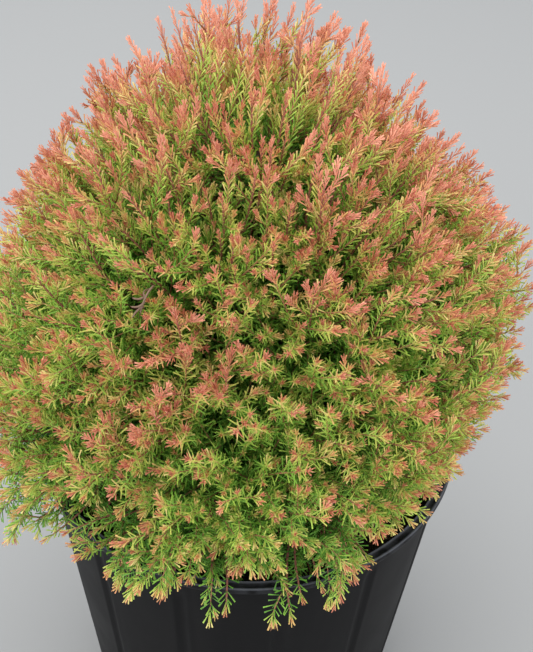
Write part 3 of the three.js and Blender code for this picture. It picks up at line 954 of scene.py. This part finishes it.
def plan_masses():
    """The masses' directions, reach, entries and roots, and the walls between their cells."""
    directions, starts, rings = [], [], []
    for number, (count, elevation, turn, _, low, high, _) in enumerate(RINGS):
        for i in range(count):
            tilt = RING_TILT * (chance(len(directions) + 0.5) - 0.5) if count > 1 else 0
            directions.append(bearing(turn + 360 * i / count, elevation + tilt))
            starts.append(mix(low, high, (i * RING_CLIMB) % 1))
            rings.append(number)
    direction = np.array(directions)
    far = reach(direction)
    entry = np.array([RINGS[number][3] for number in rings])
    between = direction[None] - direction[:, None]
    apart = np.linalg.norm(between, axis=-1, keepdims=True)
    return SimpleNamespace(
        ring=np.array(rings),
        direction=direction,
        start=np.array(starts),
        entry=FORK + direction * (entry * far)[:, None],
        root=FORK + direction * ((entry + SHOOTS_AFTER_ENTRY) * far)[:, None],
        walls=between / np.where(apart > 0, apart, 1),
        own=apart[..., 0] == 0,
    )


def inside_cell(points, masses, mass, gap):
    """True where a point is nearer its mass's middle than any other's, by the gap."""
    past = np.einsum("...c,...wc->...w", points - FORK, masses.walls[mass])
    return np.all((past < -gap) | masses.own[mass], axis=-1)


def clear_of_pot(points, gap):
    """True above the pot, outside its rim, or inside its wall and above the soil."""
    radius = np.hypot(points[..., 0], points[..., 1])
    height = points[..., 2]
    inside = (radius < inside_radius(height) - gap) & (height > SOIL_TOP + gap)
    return (height > POT_HEIGHT + gap) | (radius > RIM_RADIUS + gap) | inside


def grow_leaders(masses, index, gather, shares, upturn, cell_gap, top_lean=0):
    """The leading shoots: an even spiral over the crown, each gathered to the nearest mass, out
    past its core and up to its tip. A shoot turns up less by steps, and is then lifted by steps,
    its tip half as far, until it keeps to its cell and passes over the lip."""
    lowest = math.sin(math.radians(LOWEST_SHOOT))
    rise = 1 - (1 - lowest) * ((index + 0.5) / LEADER_COUNT)
    turn = index * GOLDEN_ANGLE + LEADER_JITTER * (chance(index) - 0.5)
    direction = round_axis(np.sqrt(1 - rise * rise), turn, rise)
    mass = np.argmax(direction @ masses.direction.T, axis=1)
    direction = unit(direction + gather * masses.direction[mass])
    share = mix(*shares, chance(index + LENGTH_SEED))
    length = (share * reach(direction))[:, None]
    tip = FORK + direction * length
    step = np.arange(UPTURN_STEPS + LIFT_STEPS + 1)[None, :, None]
    upper = ramp(direction[:, 2], UPTURN_FROM, UPTURN_FULL - UPTURN_FROM)
    turned_up = upturn * upper * (1 - top_lean * rise)
    upturns = turned_up[:, None, None] * np.maximum(0, 1 - step / UPTURN_STEPS)
    lifts = UP * LIFT * np.maximum(0, step - UPTURN_STEPS)
    outward = unit(direction[:, None] + UP * upturns)
    bends = tip[:, None] + lifts - outward * TIP_RUN * length[:, None]
    roots = np.broadcast_to(masses.root[mass][:, None], bends.shape)
    curves = np.stack([roots, bends, tip[:, None] + 0.5 * lifts], axis=2)
    stations = curve_point(curves[:, :, None], np.linspace(0, 1, LEADER_STATIONS)[None, None])
    fits = inside_cell(stations, masses, mass[:, None, None], cell_gap)
    fits = (fits & clear_of_pot(stations, LEADER_RADIUS + POT_GAP)).all(axis=2)
    first = curves[np.arange(len(index)), fits.argmax(axis=1)]
    return rows_of(fits.any(axis=1), curve=first, mass=mass, leader=index, seed=index + 0.0)


def side_direction(tangent, turn, angle, lift):
    """A direction that leaves a shoot at an angle, turned round it, and lifted a little, and its
    part square to the shoot."""
    level, rising = square_to(tangent)
    out = level * np.cos(turn)[:, None] + rising * np.sin(turn)[:, None]
    angle = np.radians(angle)[..., None]
    lifted = UP * np.asarray(lift)[..., None]
    return unit(tangent * np.cos(angle) + out * np.sin(angle) + lifted), out


def above_skirt(place):
    """0 where shoots hang over the pot, and 1 where they rise."""
    return ramp(rise_of(place), SKIRT_LIMIT, SKIRT_SPAN)


def side_lift(place):
    """Side shoots droop over the pot, rise in front, and keep their own way towards the top."""
    height = np.clip(rise_of(place), 0, 1)
    return mix(SIDE_DROOP, SIDE_RISE * (1 - height), above_skirt(place))


def has_room(points):
    """True inside the crown's edge and clear of the pot."""
    return clear_of_pot(points, SPRAY_POT_GAP) & (crown_share(points) < CROWN_EDGE)


def bent_shoots(root, way, length, sizes, bow, allowed=has_room):
    """Shoots that leave sideways and then turn to their tip, and which of them can grow. A way is
    a direction and its part square to the parent. A tip lies at the first of the sizes all of
    whose probes are allowed."""
    direction, out = way
    scale = np.array(sizes)[:, None, None]
    whole = direction[:, None, None] * length[:, None, None, None]
    points = root[:, None, None] + whole * scale * np.array(SPRAY_PROBES)[:, None]
    fits = allowed(points).all(axis=2)
    tip = points[np.arange(len(root)), fits.argmax(axis=1), 0]
    across = np.linalg.norm(tip - root, axis=-1, keepdims=True)
    bend = mix(root, tip, 0.5) + out * bow * across
    return np.stack([root, bend, tip], axis=1), fits.any(axis=1)


def side_roots(leaders, orders):
    """Where side shoots of some orders leave their leading shoots, and which way those run."""
    parent = np.repeat(np.arange(len(leaders.leader)), len(orders))
    order = np.tile(orders, len(leaders.leader))
    along = PLUME_START + (1 - PLUME_START) * order / SPRAY_COUNT
    curve, leader = leaders.curve[parent], leaders.leader[parent]
    return SimpleNamespace(
        root=curve_point(curve, along),
        tangent=curve_tangent(curve, along),
        order=order,
        mass=leaders.mass[parent],
        leader=leader,
        seed=leader * 31.7 + order * 7.3,
        turn=leader - order * GOLDEN_ANGLE,
    )


def grow_sides(masses, roots, way, length, bow):
    """Side shoots of a length that keep to their mass's room, fewer of them where they hang."""
    def allowed(points):
        return inside_cell(points, masses, roots.mass[:, None, None], -INTERLOCK) & has_room(points)

    curve, grown = bent_shoots(roots.root, way, length, SPRAY_SIZES, bow, allowed)
    grown &= chance(roots.leader + 0.9) > FRINGE_BARE * (1 - above_skirt(curve[:, 2]))
    return rows_of(grown, curve=curve, leader=roots.leader, seed=roots.seed)


def grow_sprays(masses, leaders):
    """The solids' own sprays: one of each whole order on each leading shoot."""
    roots = side_roots(leaders, np.arange(SPRAY_COUNT))
    way = side_direction(roots.tangent, roots.turn, SPRAY_ANGLE, SPRAY_RISE)
    length = SPRAY_LENGTH * (1 - SPRAY_TAPER * roots.order / SPRAY_COUNT)
    return grow_sides(masses, roots, way, length, SPRAY_BOW)


def grow_upright(masses, leaders, orders):
    """Side shoots that turn up beside their leading shoot and end near the crown's surface."""
    roots = side_roots(leaders, orders)
    way = side_direction(roots.tangent, roots.turn, SIDE_ANGLE, side_lift(roots.root))
    longest = mix(LONGEST_HANGING, LONGEST_SIDE, above_skirt(roots.root))
    length = reach(way[0], roots.root) * mix(*SIDE_SHARES, chance(roots.seed))
    length = np.clip(length, SHORTEST_SIDE, longest)
    return grow_sides(masses, roots, way, length, SIDE_BOW)


def trunk_path(masses, t):
    """The trunk's middle line: a centripetal Catmull-Rom curve through five points, as in the
    solids, evaluated as a cubic between its knots."""
    tip = masses.entry[0] - masses.direction[0] * GAP
    heights = [
        SOIL_TOP + GAP,
        SOIL_TOP + TRUNK_STAND,
        FORK_HEIGHT + TRUNK_CLIMB,
        0.5 * (FORK_HEIGHT + tip[2]) + TRUNK_CLIMB,
    ]
    marks = np.column_stack([TRUNK_MARKS * TRUNK_LEAN, heights])
    through = np.concatenate([marks, tip[None]])
    before, after = 2 * through[0] - through[1], 2 * through[-1] - through[-2]
    padded = np.concatenate([[before], through, [after]])
    spans = len(through) - 1
    place = np.clip(np.asarray(t) * spans, 0, spans - TINY)
    cell = place.astype(int)
    share = (place - cell)[:, None]
    a, b, c, d = (padded[cell + k] for k in range(4))
    ab, bc, cd = (
        np.linalg.norm(q - p, axis=-1, keepdims=True) ** 0.5 for p, q in ((a, b), (b, c), (c, d)))
    start = ((b - a) / ab - (c - a) / (ab + bc) + (c - b) / bc) * bc
    end = ((c - b) / bc - (d - b) / (bc + cd) + (d - c) / cd) * bc
    return (
        b + start * share + (3 * (c - b) - 2 * start - end) * share ** 2
        + (2 * (b - c) + start + end) * share ** 3
    )


def bough_curves(masses):
    """A bough from the trunk's middle line to each mass outside the top one, as in the solids."""
    outer = masses.ring > 0
    middles = trunk_path(masses, np.linspace(0, 1, TRUNK_STATIONS))
    height = masses.start[outer]
    start = np.stack([np.interp(height, middles[:, 2], middles[:, axis]) for axis in range(3)], -1)
    direction, entry = masses.direction[outer], masses.entry[outer]
    length = np.linalg.norm(entry - start, axis=1, keepdims=True)
    return np.stack([start, entry - direction * 0.5 * length, entry - direction * GAP], axis=1)


def grow_inside(masses):
    """Short shoots that cover the trunk, the boughs and the masses' stems, turned round them by
    the golden angle."""
    on_trunk = np.linspace(*TRUNK_STRETCH, TRUNK_SHOOTS)
    trunk = trunk_path(masses, on_trunk)
    rising = unit(trunk_path(masses, on_trunk + TANGENT_STEP) - trunk)
    curves = bough_curves(masses)
    on_bough = np.tile(np.linspace(*BOUGH_STRETCH, BOUGH_SHOOTS), len(curves))
    boughs = np.repeat(curves, BOUGH_SHOOTS, axis=0)
    stems = np.repeat(masses.root, STEM_SHOOTS, axis=0)
    ways = np.repeat(masses.direction, STEM_SHOOTS, axis=0)
    root = np.concatenate([trunk, curve_point(boughs, on_bough), stems])
    tangent = np.concatenate([rising, curve_tangent(boughs, on_bough), ways])
    number = np.arange(len(root))
    on_wood = number < len(root) - len(stems)
    angle = np.where(on_wood, INSIDE_ANGLE, mix(*STEM_ANGLES, chance(number + 33)))
    way = side_direction(tangent, number * GOLDEN_ANGLE, angle, INSIDE_LIFT)
    length = INSIDE_LENGTH * mix(*INSIDE_SIZES, chance(number + 77))
    curve, grown = bent_shoots(root, way, length, SPRAY_SIZES, INSIDE_BOW)
    return rows_of(grown, curve=curve, leader=number + 0.7, seed=number * 2.3 + 900)


def grow_twigs(shoots, settings):
    """The finest twigs: along each side shoot at even steps, turned by the golden angle."""
    length = curve_length(shoots.curve)
    height = rise_of(shoots.curve[:, 2])
    step = settings.twig_step * (1 + TOP_TWIG_STEP * np.clip(height, 0, 1))
    count = np.clip(np.round(length / step).astype(int), 1, MOST_TWIGS)
    parent, number = numbered(count)
    seed = shoots.seed[parent] + number * 3.9 + 400
    place = number + FIRST_TWIG + TWIG_JITTER * (chance(seed) - 0.5)
    along = place / (count[parent] + TWIG_END)
    curve = shoots.curve[parent]
    root, tangent = curve_point(curve, along), curve_tangent(curve, along)
    turn = shoots.seed[parent] + number * GOLDEN_ANGLE
    way = side_direction(tangent, turn, settings.twig_angle, side_lift(root))
    length = settings.twig_length * mix(*TWIG_SIZES, chance(seed + 1)) * (1 - TWIG_TAPER * along)
    curve, grown = bent_shoots(root, way, length, TWIG_DRAWN_IN, TWIG_BOW)
    return rows_of(grown, curve=curve, leader=shoots.leader[parent], seed=seed)


def grow_crown(settings):
    """All the shoots of the crown, level by level."""
    masses = plan_masses()
    index = np.arange(LEADER_COUNT)
    upper, highest = index[:UPPER_COUNT], index[:HIGHEST_COUNT]
    most = np.concatenate([
        index + 1 / 3, index + 2 / 3, upper + 1 / 12, upper + 7 / 12,
        highest + 1 / 4, highest + 1 / 2, highest + 3 / 4, highest + 11 / 12,
    ])
    short = np.concatenate([upper + 1 / 6, upper + 5 / 6])

    def between_shoots(places, shares, top_lean):
        return grow_leaders(
            masses, places, BETWEEN_GATHER, shares, BETWEEN_UPTURN, -INTERLOCK, top_lean)

    leaders = grow_leaders(masses, index, GATHER, (SHORTEST_SHOOT, 1), UPTURN, CELL_GAP)
    between = together([
        between_shoots(most, BETWEEN_SHARES, TOP_LEAN),
        between_shoots(short, SHORT_SHARES, TOP_LEAN),
    ])
    inner = between_shoots(index + INNER_PLACE, INNER_SHARES, 0)
    outer_sides = together([
        grow_sprays(masses, leaders),
        grow_upright(masses, leaders, LOW_ORDERS),
        grow_upright(masses, between, BETWEEN_ORDERS),
    ])
    inner_sides = together([grow_upright(masses, inner, INNER_ORDERS), grow_inside(masses)])
    return SimpleNamespace(
        masses=masses,
        leaders=together([leaders, between, inner]),
        sides=together([outer_sides, inner_sides]),
        twigs=grow_twigs(outer_sides, settings),
    )


# Bark

def trunk_radius(along):
    """The trunk's radius: an even taper, and a flare that dies away from the foot."""
    flare = (FLARE_RADIUS - TRUNK_RADIUS) * np.exp(-along / FLARE_LENGTH)
    return flare + mix(TRUNK_RADIUS, TRUNK_TIP_RADIUS, along)


def rough_limbs(middles, radii, settings, seeds):
    """Limbs (n, m, 3) with the bark's relief, closed at their ends: two sines of the angle round
    the limb, whose phases wander as it goes, cut into the radii (n, m)."""
    turn = even_turns(settings.sides)
    far = np.linspace(0, 1, middles.shape[1])[:, None] * BARK_RUN
    seed = seeds[:, None, None]
    broad = settings.ridges * turn + WANDER.far * np.sin(far * WANDER.often + seed) + seed
    fine = 2 * settings.ridges * turn - FINE_WANDER.far * np.sin(far * FINE_WANDER.often) + 2 * seed
    ridge = np.sin(broad) + FINE_RIDGES * np.sin(fine)
    radius = radii[..., None] * (1 + settings.relief * (ridge - 1 - FINE_RIDGES))
    return closed(
        rings_along(middles, radius, settings.sides), middles[:, :1], middles[:, -1:])


def limbs(masses, settings):
    """The trunk, flat at the soil, and a bough to each mass outside the top one."""
    along = np.linspace(0, 1, TRUNK_STATIONS)
    points, faces = rough_limbs(
        trunk_path(masses, along)[None], trunk_radius(along)[None], settings,
        np.array([TRUNK_SEED]))
    points[points[:, 2] < SOIL_TOP + TRUNK_CUT, 2] = SOIL_TOP + GAP
    curves = bough_curves(masses)
    along = np.linspace(0, 1, BOUGH_STATIONS)
    thickness = np.array([RINGS[ring][6] for ring in masses.ring[masses.ring > 0]])
    boughs = rough_limbs(
        curve_point(curves[:, None], along), mix(thickness[:, None], BOUGH_TIP_RADIUS, along),
        settings, BOUGH_SEED * np.arange(1, len(curves) + 1))
    return merged([(points, faces), boughs])


class BarkSettings(bpy.types.PropertyGroup):
    colour: colour_setting("Bark", "Colour of the bark between its ridges", (0.070, 0.034, 0.022))
    ridge_colour: colour_setting("Ridges", "Colour of the bark's ridges", (0.170, 0.110, 0.080))
    relief: number_setting(
        "Relief", "Depth of the ridges as a share of the limb's radius", 0.07, min=0, max=0.3)
    ridges: count_setting("Ridge count", "Number of ridges round a limb", 5, 2, 12)
    sides: count_setting("Sides", "Faces round a limb", 20, 6, 48)


class ARBORVITAE_OT_bark(bpy.types.Operator):
    """Make the trunk and boughs with the relief of their bark"""
    bl_idname = "arborvitae.bark"
    bl_label = "Make the trunk and boughs"

    def execute(self, context):
        settings = context.scene.arborvitae_bark
        wood = mesh_object("trunk_and_boughs", *limbs(plan_masses(), settings), smooth=True)
        finish_piece(wood, bark_finish(settings), LIMB_NODES)
        return {"FINISHED"}


# Twigs

class TwigSettings(bpy.types.PropertyGroup):
    wood_colour: colour_setting(
        "Wood", "Colour of the older wood inside the crown", (0.085, 0.045, 0.028))
    leader_colour: colour_setting(
        "Leading shoots", "Colour of the young leading shoots", (0.32, 0.115, 0.085))
    side_colour: colour_setting("Side shoots", "Colour of the side shoots", (0.42, 0.190, 0.100))
    twig_colour: colour_setting("Twigs", "Colour of the finest twigs", (0.34, 0.235, 0.070))
    dead_colour: colour_setting("Dead twig", "Colour of the dead twig", (0.165, 0.100, 0.066))
    twig_length: length_setting("Twig length", "Length of the finest twigs", 0.013)
    twig_step: length_setting("Twig step", "Length of shoot for each twig on it", 0.015)
    twig_angle: number_setting(
        "Twig angle", "Angle at which a twig leaves its shoot, in degrees", 36)


def dead_twig_curves():
    """Curves through the dead twig's marks, each at its share of the crown's radius."""
    direction = np.array([[bearing(*mark[:2]) for mark in curve] for curve in DEAD_TWIG])
    share = np.array(DEAD_TWIG)[..., 2]
    return CROWN_MIDDLE + direction * (crown_radius(direction) * share)[..., None]


class ARBORVITAE_OT_twigs(bpy.types.Operator):
    """Make the stems of the masses, the leading shoots, the side shoots and the finest twigs"""
    bl_idname = "arborvitae.twigs"
    bl_label = "Make the twigs"

    def execute(self, context):
        settings = context.scene.arborvitae_twigs
        crown = grow_crown(settings)
        masses = crown.masses
        curves = {
            "stems": np.stack(
                [masses.entry, mix(masses.entry, masses.root, 0.5), masses.root], axis=1),
            "inner_shoots": crown.leaders.curve,
            "leading_shoots": crown.leaders.curve,
            "side_shoots": crown.sides.curve,
            "twigs": crown.twigs.curve,
            "dead_twig": dead_twig_curves(),
        }
        made = {kind: tubes(curves[kind], *TUBES[kind]) for kind in TUBES}
        pieces = [
            ("inner_wood", settings.wood_colour, merged([made["stems"], made["inner_shoots"]])),
            ("leading_shoots", settings.leader_colour, made["leading_shoots"]),
            ("side_shoots", settings.side_colour, made["side_shoots"]),
            ("twigs", settings.twig_colour, made["twigs"]),
            ("dead_twig", settings.dead_colour, made["dead_twig"]),
        ]
        for name, colour, (points, faces) in pieces:
            piece = mesh_object(name, points, faces, smooth=True)
            finish = plain_finish(name, colour, TWIG_ROUGHNESS)
            finish_piece(piece, finish, FOLIAGE_NODES)
        return {"FINISHED"}


# Needles

class NeedleSettings(bpy.types.PropertyGroup):
    length: length_setting("Length", "Length of a full-grown needle", 0.0080)
    top_length: length_setting("Top length", "Length of a needle at the crown's top", 0.0064)
    width: length_setting("Width", "Width of a full-grown needle", 0.00100)
    spacing: length_setting("Whorl spacing", "Length of shoot between two whorls", 0.0033)
    spread: number_setting(
        "Spread", "Angle between a low needle and its shoot, in degrees", 64)
    top_spread: number_setting("Top spread", "That angle at the crown's top, in degrees", 31)
    tip_spread: number_setting("Tip spread", "That angle at the shoot's tip, in degrees", 15)
    inner_share: number_setting(
        "Inner share", "Share of the needles that is kept deep inside", 0.27, min=0.1, max=1)
    whorl: count_setting("Whorl", "Needles in a whorl", 3, 2, 5)


def whorls_along(shoots, bare, settings):
    """Whorls of needles on each shoot past its bare start, counted from its tip. The n-th lies at
    spacing * (n - crowding * (1 - exp(-n / fall))) from the tip, so that they crowd there."""
    length = curve_length(shoots.curve)
    whole = (1 - bare) * length / settings.spacing + CROWDING
    parent, number = numbered(np.maximum(FEWEST_WHORLS, whole.astype(int)))
    crowded = CROWDING * (1 - np.exp(-number / CROWDING_FALL))
    from_tip = settings.spacing * (number + FIRST_WHORL - crowded)
    along = 1 - from_tip / length[parent]
    curve = shoots.curve[parent]
    return rows_of(
        along > bare,
        place=curve_point(curve, along - WHORL_BACK),
        tangent=curve_tangent(curve, along),
        from_tip=from_tip,
        number=number,
        seed=shoots.seed[parent],
        leader=shoots.leader[parent],
    )


def place_needles(whorls, settings):
    """The needles of each whorl, turned half a step from one whorl to the next. They lie closer
    to the shoot, and are shorter, at its tip and in the crown's top."""
    count = settings.whorl
    pick = np.repeat(np.arange(len(whorls.number)), count)
    member = np.tile(np.arange(count), len(whorls.number))
    whorls = rows_of(pick, **vars(whorls))
    own = whorls.seed * 5.1 + whorls.number * 1.37 + member * 9.7
    step = 2 * math.pi / count
    turn = step * (member + whorls.number / 2) + whorls.seed + TURN_JITTER * (chance(own) - 0.5)
    upper = ramp(rise_of(whorls.place), UPPER_FROM, UPPER_SPAN)
    near_tip = np.exp(-(whorls.from_tip / TIP_RANGE) ** 2)
    low_spread = mix(settings.spread, settings.top_spread, upper)
    spread = mix(low_spread, settings.tip_spread, near_tip) * mix(*SPREAD_SIZES, chance(own + 2))
    direction, _ = side_direction(whorls.tangent, turn, spread, NEEDLE_LIFT)
    young = np.exp(-whorls.from_tip / YOUNG_RANGE)
    full = mix(settings.length, settings.top_length, upper)
    shift = ROOT_JITTER * (chance(own + 4) - 0.5)
    return SimpleNamespace(
        root=whorls.place + whorls.tangent * shift[:, None],
        direction=direction,
        tangent=whorls.tangent,
        length=full * mix(*NEEDLE_SIZES, chance(own + 3)) * (1 - YOUNG_SHORTER * young),
        from_tip=whorls.from_tip,
        leader=whorls.leader,
        seed=whorls.seed,
        own=own,
    )


def thinned(needles, settings):
    """Fewer and larger needles inside the crown: one in so many is kept by chance. Its length
    grows with the fourth root of the number that it stands for, and its width with the root."""
    height = np.clip(rise_of(needles.root), 0, 1)
    depth = crown_share(needles.root) - THIN_BELOW + THIN_DEEPER_ABOVE * height
    share = mix(settings.inner_share, 1, ramp(depth, 0, THIN_SPAN))
    needles.scale = share ** -0.5
    needles.length = needles.length * share ** -0.25
    return rows_of(chance(needles.own + 8) < share, **vars(needles))


def grow_needles(crown, settings):
    """The needles of all the shoots that lie inside the crown's edge and clear of the pot."""
    shoots = zip((crown.leaders, crown.sides, crown.twigs), BARE_STARTS)
    whorls = together([whorls_along(group, bare, settings) for group, bare in shoots])
    needles = thinned(place_needles(whorls, settings), settings)
    ends = needles.root + needles.direction * needles.length[:, None]
    middles = mix(needles.root, ends, 0.5)
    kept = crown_share(ends) < NEEDLE_EDGE
    kept &= clear_of_pot(ends, NEEDLE_POT_GAP) & clear_of_pot(middles, NEEDLE_POT_GAP)
    return rows_of(kept, **vars(needles))


def deal_tints(needles):
    """The tint of each needle. Ripeness grows towards a shoot's tip, further down the shoot
    where the crown is warm, and towards the crown's surface. The crown is warm by its height and
    by its warm patches, and one strong cold patch in front below the middle is painted shade under
    the crown's overhang. Hanging sprays are greener but for their tips. Ripeness differs by spray,
    by leading shoot and by needle. The needles are ranked by it, and the ranks are dealt out by the
    tints' shares."""
    direction = unit(needles.root - CROWN_MIDDLE)
    height = direction[:, 2]
    warmth_and_painted_shade = TOP_WARMTH * np.maximum(height, 0) ** 2 + LOW_WARMTH * np.minimum(height, 0)
    # The patches ripen the crown in places, and the strong cold one in front below the middle is
    # painted shade
    warmth_and_painted_shade = warmth_and_painted_shade + swell_sum(direction, WARM_PATCHES_AND_PAINTED_SHADE)
    outer = ramp(crown_share(needles.root), SURFACE_FROM, SURFACE_SPAN)
    hanging = 1 - above_skirt(needles.root)
    ripe_length = mix(*RIPE_LENGTHS, np.clip(warmth_and_painted_shade, 0, 1))
    near_tip = np.exp(-(needles.from_tip / ripe_length) ** RIPE_POWER)
    vigour = (
        VIGOUR.start
        + VIGOUR.warmth_and_painted_shade * warmth_and_painted_shade
        + VIGOUR.skirt * hanging
        + VIGOUR.spray * (chance(needles.seed + 5) - 0.5)
        + VIGOUR.leader * (chance(needles.leader + 0.3) ** 2 - VIGOUR.mean)
    )
    ripeness = (
        RIPENESS.outer * outer
        + vigour * near_tip * mix(RIPENESS.inner_tips, 1, outer)
        + RIPENESS.warmth_and_painted_shade * warmth_and_painted_shade
        - RIPENESS.skirt * hanging
        + RIPENESS.needle * (chance(needles.own + 6) - 0.5)
    )
    ranks = np.empty(len(ripeness))
    ranks[np.argsort(ripeness, kind="stable")] = (np.arange(len(ripeness)) + 0.5) / len(ripeness)
    limits = np.cumsum([tint[2] for tint in TINTS])
    return np.minimum(np.searchsorted(limits / limits[-1], ranks), len(TINTS) - 1)


def needle_points(needles, settings):
    """A blade from a level edge at its root to an upright edge at its tip, so that it looks as
    wide at both ends: the two ends of each edge."""
    side = unit(np.cross(needles.tangent, needles.direction))
    back = np.cross(needles.direction, side)
    length = needles.length[:, None]
    width = settings.width * needles.scale[:, None] * np.sqrt(length / settings.length)
    tip = needles.root + needles.direction * length
    return np.stack([
        needles.root - side * width / 2,
        needles.root + side * width / 2,
        tip - back * width / 2,
        tip + back * width / 2,
    ], axis=1)


class ARBORVITAE_OT_needles(bpy.types.Operator):
    """Make the needles, joined by tint into pieces"""
    bl_idname = "arborvitae.needles"
    bl_label = "Make the needles"

    def execute(self, context):
        settings = context.scene.arborvitae_needles
        needles = grow_needles(grow_crown(context.scene.arborvitae_twigs), settings)
        tints = deal_tints(needles)
        for number, (name, colour, _, slot) in enumerate(TINTS):
            material = plain_finish(name, colour, NEEDLE_ROUGHNESS)
            members = np.flatnonzero(tints == number)
            pieces = max(1, math.ceil(len(members) / MOST_NEEDLES))
            for part, some in enumerate(np.array_split(members, pieces)):
                corners = needle_points(rows_of(some, **vars(needles)), settings)
                points, faces = joined(corners, NEEDLE_FACES)
                piece = mesh_object(f"needles_{name}_{part + 1}", points, faces, smooth=False)
                finish_piece(piece, material, FOLIAGE_NODES)
        return {"FINISHED"}


# Stage

class StageSettings(bpy.types.PropertyGroup):
    lens: number_setting("Lens", "The camera's focal length in millimetres", 52.3)
    camera_place: bpy.props.FloatVectorProperty(
        name="Camera", description="Where the camera stands",
        default=(0.0104, -0.5138, 0.7683), subtype="TRANSLATION")
    pitch: number_setting(
        "Pitch", "How far the camera looks down", math.radians(37.84), subtype="ANGLE")
    roll: number_setting(
        "Roll", "How far the camera leans", math.radians(2.44), subtype="ANGLE")
    floor_colour: colour_setting("Floor", "Colour of the floor", (0.27, 0.27, 0.265))
    floor_size: length_setting("Floor size", "Side of the floor", 12.0)
    sky: number_setting("Sky", "Strength of the even light from all sides", 1.5)


def placed(name, data, location, rotation):
    """An object in the scene with its place and rotation."""
    made = bpy.data.objects.new(name, data)
    made.location = location
    made.rotation_euler = rotation
    bpy.context.scene.collection.objects.link(made)
    return made


def lamp(name, place, size, power):
    """A soft square lamp that faces the crown."""
    light = bpy.data.lights.new(name, "AREA")
    light.shape = "SQUARE"
    light.size = size
    light.energy = power
    away = Vector(place) - Vector(LAMP_TARGET)
    placed(name, light, place, away.to_track_quat("Z", "Y").to_euler())


class ARBORVITAE_OT_stage(bpy.types.Operator):
    """Make the floor, the lamps, the even light and the camera"""
    bl_idname = "arborvitae.stage"
    bl_label = "Make the stage"

    def execute(self, context):
        settings = context.scene.arborvitae_stage
        half = settings.floor_size / 2
        corners = np.array([[-half, -half, 0], [half, -half, 0], [half, half, 0], [-half, half, 0]])
        floor = mesh_object("floor", corners, np.array([[0, 1, 2, 3]]), smooth=False)
        floor.data.materials.append(plain_finish("floor", settings.floor_colour, FLOOR_ROUGHNESS))
        for name, place, size, power in LAMPS:
            lamp(name, place, size, power)
        world = bpy.data.worlds.new("even_light")
        world.use_nodes = True
        background = world.node_tree.nodes["Background"]
        background.inputs["Color"].default_value = SKY_COLOUR
        background.inputs["Strength"].default_value = settings.sky
        context.scene.world = world
        camera = bpy.data.cameras.new("camera")
        camera.sensor_width = SENSOR_WIDTH
        camera.lens = settings.lens
        turn = Euler((math.pi / 2 - settings.pitch, 0, 0)).to_matrix()
        lean = Matrix.Rotation(settings.roll, 3, "Z")
        context.scene.camera = placed(
            "camera", camera, settings.camera_place, (turn @ lean).to_euler())
        context.scene.view_settings.view_transform = "Standard"
        return {"FINISHED"}


# Registration

GROUPS = {
    "arborvitae_pot": PotSettings,
    "arborvitae_soil": SoilSettings,
    "arborvitae_bark": BarkSettings,
    "arborvitae_twigs": TwigSettings,
    "arborvitae_needles": NeedleSettings,
    "arborvitae_stage": StageSettings,
}
OPERATORS = [
    ARBORVITAE_OT_pot,
    ARBORVITAE_OT_soil,
    ARBORVITAE_OT_bark,
    ARBORVITAE_OT_twigs,
    ARBORVITAE_OT_needles,
    ARBORVITAE_OT_stage,
]


class ARBORVITAE_PT_panel(bpy.types.Panel):
    """Lists the pieces of the potted arborvitae"""
    bl_label = "Potted arborvitae"
    bl_space_type = "VIEW_3D"
    bl_region_type = "UI"
    bl_category = "Arborvitae"

    def draw(self, context):
        for (name, group), operator in zip(GROUPS.items(), OPERATORS):
            box = self.layout.box()
            box.operator(operator.bl_idname)
            for setting in group.__annotations__:
                box.prop(getattr(context.scene, name), setting)


def register():
    """Register the settings, the operators and the panel."""
    for name, group in GROUPS.items():
        bpy.utils.register_class(group)
        setattr(bpy.types.Scene, name, bpy.props.PointerProperty(type=group))
    for operator in OPERATORS:
        bpy.utils.register_class(operator)
    bpy.utils.register_class(ARBORVITAE_PT_panel)


def unregister():
    """Take away what register added, in the reverse order."""
    bpy.utils.unregister_class(ARBORVITAE_PT_panel)
    for operator in reversed(OPERATORS):
        bpy.utils.unregister_class(operator)
    for name, group in reversed(GROUPS.items()):
        delattr(bpy.types.Scene, name)
        bpy.utils.unregister_class(group)


def main():
    """Make every piece and the stage."""
    register()
    bpy.ops.arborvitae.pot()
    bpy.ops.arborvitae.soil()
    bpy.ops.arborvitae.bark()
    bpy.ops.arborvitae.twigs()
    bpy.ops.arborvitae.needles()
    bpy.ops.arborvitae.stage()


if __name__ == "__main__":
    main()
